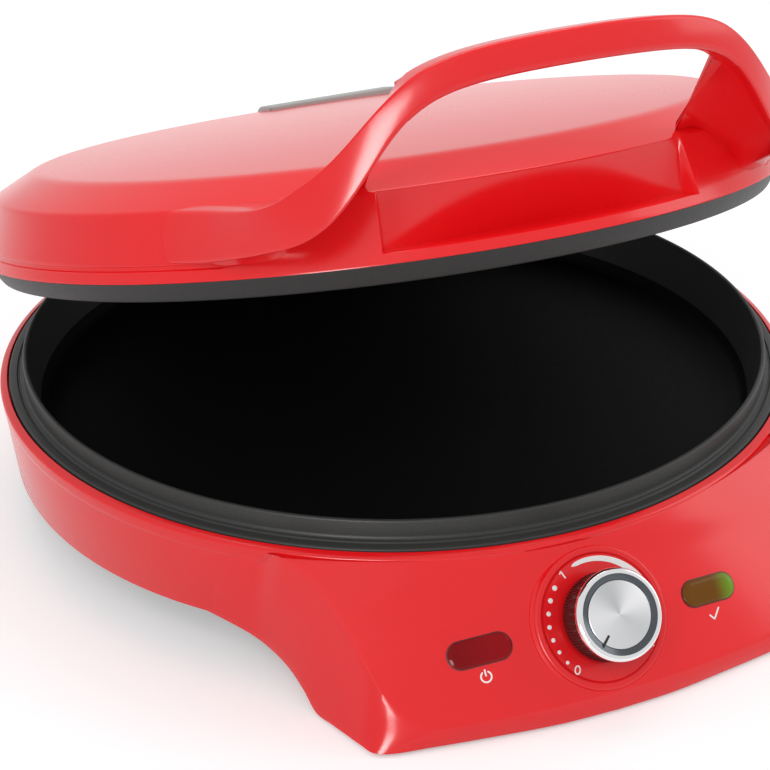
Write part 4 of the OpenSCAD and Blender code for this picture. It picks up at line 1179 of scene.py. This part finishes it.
# %% Strip
STRIP_FROM, STRIP_TO = 2.0, 68.0
strip_outline = soften(
    [(127.0, 98.0), (156.0, 90.6), (156.0, 98.4), (145.3, 105.6), (127.0, 106.2)],
    [0.4, 0.8, 2.0, 3.0, 1.2], 4)
strip = Skin().slab(strip_outline, eased(STRIP_FROM, STRIP_TO, 1.2, 4),
                    lambda y, z, x: Vector((x, y, z)))
piece("strip", strip, [strip_grey], "lid", ["hinge_cover"], lid=True)

# %% [markdown]
# ## Dial, marks and lenses
#
# The dial is a raised soft ring on the panel. Its scale is printed: seven dots
# that grow, a tapering arc, and plain numerals. Each lamp has a pill-shaped
# lens with a wide bevel, set in a narrow dark seam.

# %% Dial ring
dial_place = placer(DIAL, ACROSS, UPWARD, OUTWARD)
dial_profile = soften(
    [(0, -3.4), (28.4, -3.4), (28.2, -0.9), (27.2, -0.1), (26.6, 1.25), (24.4, 1.35),
     (23.6, 0.75), (0, 0.75)],
    [0, 0, 0.8, 0.9, 1.3, 1.2, 0.8, 0], 5)
piece("dial", Skin().turned(dial_profile, 144, 0, dial_place), [gloss_red], "base")

# %% Dots of growing size
PRINT = 0.12
DIAL_FACE = 0.75
DOT_SIZE, DOT_GROWTH = 0.72, 0.05
PANEL = Matrix((ACROSS, UPWARD, OUTWARD)).transposed()
DOTS = [(-17.7, -12.8), (-19.9, -8.4), (-21.1, -3.6), (-21.3, 1.3), (-20.3, 6.1), (-18.3, 10.6),
        (-15.4, 14.7)]
dome_rows = []
for level, wide in ((0.0, 1.0), (0.7, 0.97), (1.0, 0.88)):
    dome_rows.append([(wide * math.cos(math.pi * k / 12), wide * math.sin(math.pi * k / 12),
                       level * PRINT) for k in range(24)])
dot_spots = [(dial_place(x, y, DIAL_FACE), tuple(PANEL.to_euler()), DOT_SIZE + DOT_GROWTH * k)
             for k, (x, y) in enumerate(DOTS)]
copies("dial_dots", Skin().tube(dome_rows), dot_spots, print_white, "base")

# %% Printed lines
ENDS = [(0.5, 0.15), (0.44, 0.5), (0.28, 0.83)]
marks = Skin()


def ribbon(line, place, height):
    """Prints a flat line, given as points with their widths, as a thin closed body."""
    points = [Vector(p) for p, _ in line]
    rows = []
    for i, (_, width) in enumerate(line):
        along = (points[min(i + 1, len(points) - 1)] - points[max(i - 1, 0)]).normalized()
        side = Vector((-along.y, along.x)) * width / 2
        a, b = points[i] + side, points[i] - side
        rows.append([place(a.x, a.y, height), place(a.x, a.y, height + PRINT),
                     place(b.x, b.y, height + PRINT), place(b.x, b.y, height)])
    marks.tube(rows)


def stroke(points, width, per, place, height):
    """Prints a line of even width with rounded ends, smooth where it has a bend."""
    line = [Vector(p) for p in points]
    if len(line) > 2:
        line = smooth_line(line, per)
    out = (line[0] - line[1]).normalized()
    on = (line[-1] - line[-2]).normalized()
    head = [(line[0] + out * width * reach, width * wide) for reach, wide in ENDS]
    tail = [(line[-1] + on * width * reach, width * wide) for reach, wide in ENDS[::-1]]
    ribbon(head + [(p, width) for p in line] + tail, place, height)


print("line tools are ready")

# %% Tapering arc and numerals
ARC_R, ARC_FROM, ARC_SWEEP = 21.9, 108.0, 142.0
ARC_THIN, ARC_GROWTH, ARC_ENDS = 1.5, 2.2, 26
NUMERAL_LINE = 0.5
ZERO = [(1.0 * math.cos(2 * math.pi * k / 12), 1.5 * math.sin(2 * math.pi * k / 12))
        for k in range(13)]
ONE = [(-0.7, 0.9), (0.15, 1.5), (0.15, -1.5)]
FIVE = [(0.9, 1.5), (-0.75, 1.5), (-0.85, 0.15), (0.1, 0.4), (0.95, -0.45), (0.3, -1.4),
        (-0.9, -1.2)]

arc = []
for k in range(61):
    t = k / 60
    turn = math.radians(ARC_FROM - ARC_SWEEP * t)
    blunt = min(1.0, math.sqrt(max(0.02, min(t, 1 - t) * ARC_ENDS)))
    arc.append(((ARC_R * math.cos(turn), ARC_R * math.sin(turn)),
                (ARC_THIN + ARC_GROWTH * t) * blunt))
ribbon(arc, dial_place, DIAL_FACE)


def numeral(points, x, y, turn, per):
    """Prints a numeral as one curve, or stroke by stroke if per is 0."""
    cos, sin = math.cos(turn), math.sin(turn)
    moved = [(x + px * cos - py * sin, y + px * sin + py * cos) for px, py in points]
    for line in [moved] if per else zip(moved, moved[1:]):
        stroke(line, NUMERAL_LINE, per, dial_place, DIAL_FACE)


numeral(ZERO, -14.6, -16.4, math.radians(-20), 3)
numeral(ONE, -11.0, 18.7, math.radians(24), 0)
numeral(FIVE[:3], 17.4, -15.4, math.radians(20), 0)
numeral(FIVE[2:], 17.4, -15.4, math.radians(20), 5)
print("printed faces on the dial:", len(marks.faces))

# %% [markdown]
# ## Signs under the lamps
#
# Each lamp has a plain printed sign below it: an open ring with a bar under
# the left one, and a bare tick under the right one.

# %% Signs
SIGN_DROP, SIGN_LINE, SIGN_HEIGHT = 9.6, 0.62, 0.02


def sign(strokes, side):
    place = placer(*panel_frame(side * LENS_X, -LENS_DROP - SIGN_DROP))
    for points in strokes:
        stroke(points, SIGN_LINE, 5, place, SIGN_HEIGHT)


open_ring = [(2.0 * math.sin(a), 2.0 * math.cos(a)) for a in
             [math.radians(35 + 290 * k / 12) for k in range(13)]]
sign([open_ring, [(0, 0.4), (0, 2.5)]], -1)
sign([[(-2.3, 0.1), (-0.7, -1.7)], [(-0.7, -1.7), (2.4, 2.0)]], 1)
piece("marks", marks, [print_white], "base")


# %% Lenses
PILL_STEPS = 18
SEAM = 0.9
LENS_LEVELS = [(0.0, -3.2), (0.0, 0.25), (0.12, 0.42), (0.35, 0.55), (1.5, 0.95), (1.9, 1.0),
               (3.2, 1.02)]
SEAM_LEVELS = [(0.0, -1.2), (0.0, 0.02), (0.1, 0.06)]


def pill(length, width):
    """A bar with round ends."""
    reach = (length - width) / 2
    right = [(reach + width / 2 * math.cos(a), width / 2 * math.sin(a)) for a in
             [math.pi * k / PILL_STEPS - math.pi / 2 for k in range(PILL_STEPS + 1)]]
    return right + [(-x, -y) for x, y in right]


for side, name, kind, node in ((-1, "lens_left", "lens_red", "power_lens"),
                               (1, "lens_right", "lens_green", "ready_lens")):
    lens_place = placer(*panel_frame(side * LENS_X, -LENS_DROP))
    lens = Skin().slab(pill(LENS_LONG, LENS_WIDE), LENS_LEVELS, lens_place)
    piece(name, lens, [FINISHES[kind]], "base", [node], sharp=28)
    seam = Skin().slab(pill(LENS_LONG + SEAM, LENS_WIDE + SEAM), SEAM_LEVELS, lens_place)
    piece(name + "_seam", seam, [lens_seam], "base")

# %% [markdown]
# ## The knob
#
# A short barrel with fine grip ribs, a chromed ring with a dark inner bevel,
# and the spun disc. The pointer is a thin inlaid bar that points at the zero.

# %% Knob
KNOB_LOW, KNOB_SEAT, KNOB_TOP = 2.2, 14.8, 17.4
barrel_profile = soften([(0, KNOB_LOW), (16.3, KNOB_LOW), (16.7, KNOB_SEAT), (0, KNOB_SEAT)],
                        [0, 0.6, 0.3, 0], 4)
piece("barrel", Skin().turned(barrel_profile, 120, 0, dial_place), [barrel_black], "knob",
      ["knob_barrel"])
ring_profile = soften([(11.0, KNOB_SEAT), (17.2, KNOB_SEAT), (17.3, 15.4), (17.15, 16.4),
                       (16.5, KNOB_TOP), (15.2, KNOB_TOP), (12.7, 16.5), (12.7, 15.9),
                       (11.0, 15.9)],
                      [0, 0.2, 0.5, 0.9, 0.7, 0.4, 0.1, 0, 0], 4)
ring_kinds = [1 if p[0] < 15.2 and p[1] > 15.5 else 0 for p in ring_profile]
piece("bright_ring", Skin().turned(ring_profile, 144, ring_kinds, dial_place),
      [chrome, dark_chrome], "knob", ["knob_ring"])
disc_profile = soften([(0, 15.7), (12.55, 15.7), (12.55, 16.75), (0, 16.8)],
                      [0, 0.05, 0.25, 0], 3)
piece("disc", Skin().turned(disc_profile, 120, 0, dial_place), [spun], "knob",
      ["knob_disc"])

# %% Pointer and ribs
POINTER = math.radians(225.0)


def at_pointer(x, y, h):
    cos, sin = math.cos(POINTER), math.sin(POINTER)
    return dial_place(x * cos - y * sin, x * sin + y * cos, h)


pointer_outline = soften([(8.9, -0.45), (15.4, -0.55), (15.4, 0.55), (8.9, 0.45)], 0.3, 3)
piece("pointer", Skin().slab(pointer_outline, eased(16.2, 16.98, 0.12, 2), at_pointer),
      [pointer_black], "knob", ["knob_pointer"])

RIBS, RIB_R, RIB_LOW = 84, 16.5, 2.9
rib = Skin().slab(soften([(-0.34, -0.3), (0.34, -0.3), (0.2, 0.28), (-0.2, 0.28)], 0.1, 1),
                  [(0.12, 0.0), (0.0, 0.3), (0.0, 11.1), (0.12, 11.4)],
                  lambda x, y, h: Vector((x, y, h)))
rib_spots = []
for k in range(RIBS):
    turn = 2 * math.pi * k / RIBS
    spin = PANEL @ Matrix.Rotation(turn - math.pi / 2, 3, "Z")
    rib_spots.append((dial_place(RIB_R * math.cos(turn), RIB_R * math.sin(turn), RIB_LOW),
                      tuple(spin.to_euler()), 1.0))
copies("grip_ribs", rib, rib_spots, barrel_black, "knob")

# %% [markdown]
# ## Screws and feet
#
# The screws under the base have cross recesses. One head is shaped as a disc of
# rings that dips where the driver goes, and it is copied to every place. The
# feet are rubber pads with two moulded rings.

# %% Screw heads
HEAD_R, SHANK_R, SHANK_LONG = 3.6, 1.9, 7.4
HEAD_RINGS = [0.05, 0.2, 0.35, 0.5, 0.62, 0.74, 0.86, 0.94, 1.0]
ARM_HALF, ARM_REACH = 0.13 * HEAD_R, 0.62 * HEAD_R
CROSS_TURN = (0.0, 0.0, 0.35)
CIRCLE = [(math.cos(2 * math.pi * k / 48), math.sin(2 * math.pi * k / 48)) for k in range(48)]


def screw(height):
    """A pan head that looks down, with a cross recess, and its shank above."""
    rows = []
    for share in HEAD_RINGS:
        row = []
        for cos, sin in CIRCLE:
            x, y = HEAD_R * share * cos, HEAD_R * share * sin
            low, high = sorted((abs(x), abs(y)))
            arm = low < ARM_HALF and high < ARM_REACH
            dip = 0.5 * height * (1 - share * 0.5) if arm else 0.0
            row.append((x, y, dip - height * (1 - 0.35 * share ** 3)))
        rows.append(row)
    for wide, level in ((HEAD_R, 0.0), (SHANK_R, 0.0), (SHANK_R, SHANK_LONG)):
        rows.append([(wide * x, wide * y, level) for x, y in CIRCLE])
    return Skin().tube(rows)


cover_places = [(158.0 * math.cos(math.radians(t)), 158.0 * math.sin(math.radians(t)), 22.0)
                for t in (35, 145, 205, 335)]
console_places = [(x, -176.0, FOOT_Z) for x in (-50, 50)]
for name, height, places in (("cover", 2.0, cover_places), ("console", 0.7, console_places)):
    copies("screws_" + name, screw(height), [(place, CROSS_TURN, 1.0) for place in places],
           FINISHES["screw_steel"], "base", [name + "_screws"])

# %% Feet
PAD_PROFILE = soften(
    [(0, 0.35), (2.6, 0.35), (3.0, 0), (5.4, 0), (5.8, 0.35), (6.6, 0.35), (7.0, 0), (8.4, 0),
     (9.0, 0.6), (9.0, 1.4), (0, 1.4)],
    [0, 0.1, 0.1, 0.1, 0.1, 0.1, 0.1, 0.3, 0.3, 0.05, 0], 2)


def pad_at(x, y):
    """A function that puts a turned pad under the base."""
    return lambda px, py, pz: (x + px, y + py, pz)


for end, x, y in (("front", 74, -176), ("rear", 46, 172)):
    pads = Skin()
    for side in (-1, 1):
        pads.turned(PAD_PROFILE, 64, 0, pad_at(side * x, y))
    piece("pads_" + end, pads, [FINISHES["foot_rubber"]], "base", [end + "_feet"])

# %% [markdown]
# ## Studio
#
# The object stands on a white floor in white surroundings. Camera and glass
# rays see the background in full, mirror rays see it dimmed, and for all other
# rays the world is a soft grey light. The floor glows a little for the rays
# that are seen. Three large lamps light the object: the key lamp at the upper
# left front, which doesn't show in the gloss, the fill lamp on the right and
# one overhead. A fourth lamp stands low at the front left and shows in the
# gloss alone. The lengths of the studio are in metres.

# %% Floor
FLOOR_HALF, FLOOR_DROP, FLOOR_CELLS = 3.0, 0.0002, 8
FLOOR_GLOW = 0.33
BLACK, WHITE = (0.0, 0.0, 0.0), (1.0, 1.0, 1.0)


def seen_rays(nodes, mirror):
    """1 for camera and glass rays, and the given share for mirror rays."""
    straight = nodes.rays("Is Camera Ray") + nodes.rays("Is Transmission Ray")
    return straight + mirror * nodes.rays("Is Glossy Ray")


def studio_floor():
    ticks = [FLOOR_HALF * (2 * i / FLOOR_CELLS - 1) for i in range(FLOOR_CELLS + 1)]
    rows = Skin().grid([[(x, y, -FLOOR_DROP) for x in ticks] for y in ticks])
    mesh = bpy.data.meshes.new("floor")
    mesh.from_pydata(rows.points, [], rows.faces)
    finish = Finish("floor_white")
    mesh.materials.append(finish.close({
        "Base Color": finish.blend(finish.noise(3.0), (0.80, 0.80, 0.80), (0.82, 0.82, 0.82)),
        "Roughness": 0.9,
        "Specular IOR Level": 0.0,
        "Emission Color": finish.blend(seen_rays(finish, 1.0), BLACK, WHITE),
        "Emission Strength": FLOOR_GLOW}))
    link("floor", mesh)


studio_floor()
print("floor is in place")

# %% World and lamps
WORLD_GREY = (0.56, 0.56, 0.57)
MIRROR_SHARE = 0.55
LAMP_AIM = Vector((0, 0, 0.08))


def studio_world():
    world = bpy.data.worlds.new("studio")
    bpy.context.scene.world = world
    world.use_nodes = True
    nodes = Nodes(world.node_tree)
    colour = nodes.blend(seen_rays(nodes, MIRROR_SHARE), WORLD_GREY, WHITE)
    back = nodes.add("ShaderNodeBackground", {}, {"Color": colour})
    nodes.add("ShaderNodeOutputWorld", {}, {"Surface": back})


def lamp(name, place, size, watts, diffuse=True, glossy=True):
    """A rectangular area lamp that looks at the object."""
    data = bpy.data.lights.new(name, "AREA")
    data.shape = "RECTANGLE"
    data.size, data.size_y = size
    data.energy = watts
    thing = link(name, data)
    thing.visible_diffuse = diffuse
    thing.visible_glossy = glossy
    aim = (Vector(place) - LAMP_AIM).to_track_quat("Z", "Y").to_matrix().to_4x4()
    thing.matrix_world = Matrix.Translation(place) @ aim


studio_world()
lamp("key", (-0.75, -0.95, 1.05), (0.9, 0.7), 6.5, glossy=False)
lamp("fill", (1.2, -0.5, 0.7), (0.7, 0.9), 3.2)
lamp("top", (0.1, 0.35, 1.4), (1.1, 0.8), 5.0)
lamp("low", (-0.78, -1.05, 0.24), (0.36, 0.5), 9.0, diffuse=False)
bpy.context.scene.view_settings.view_transform = "Standard"
print("studio is lit")
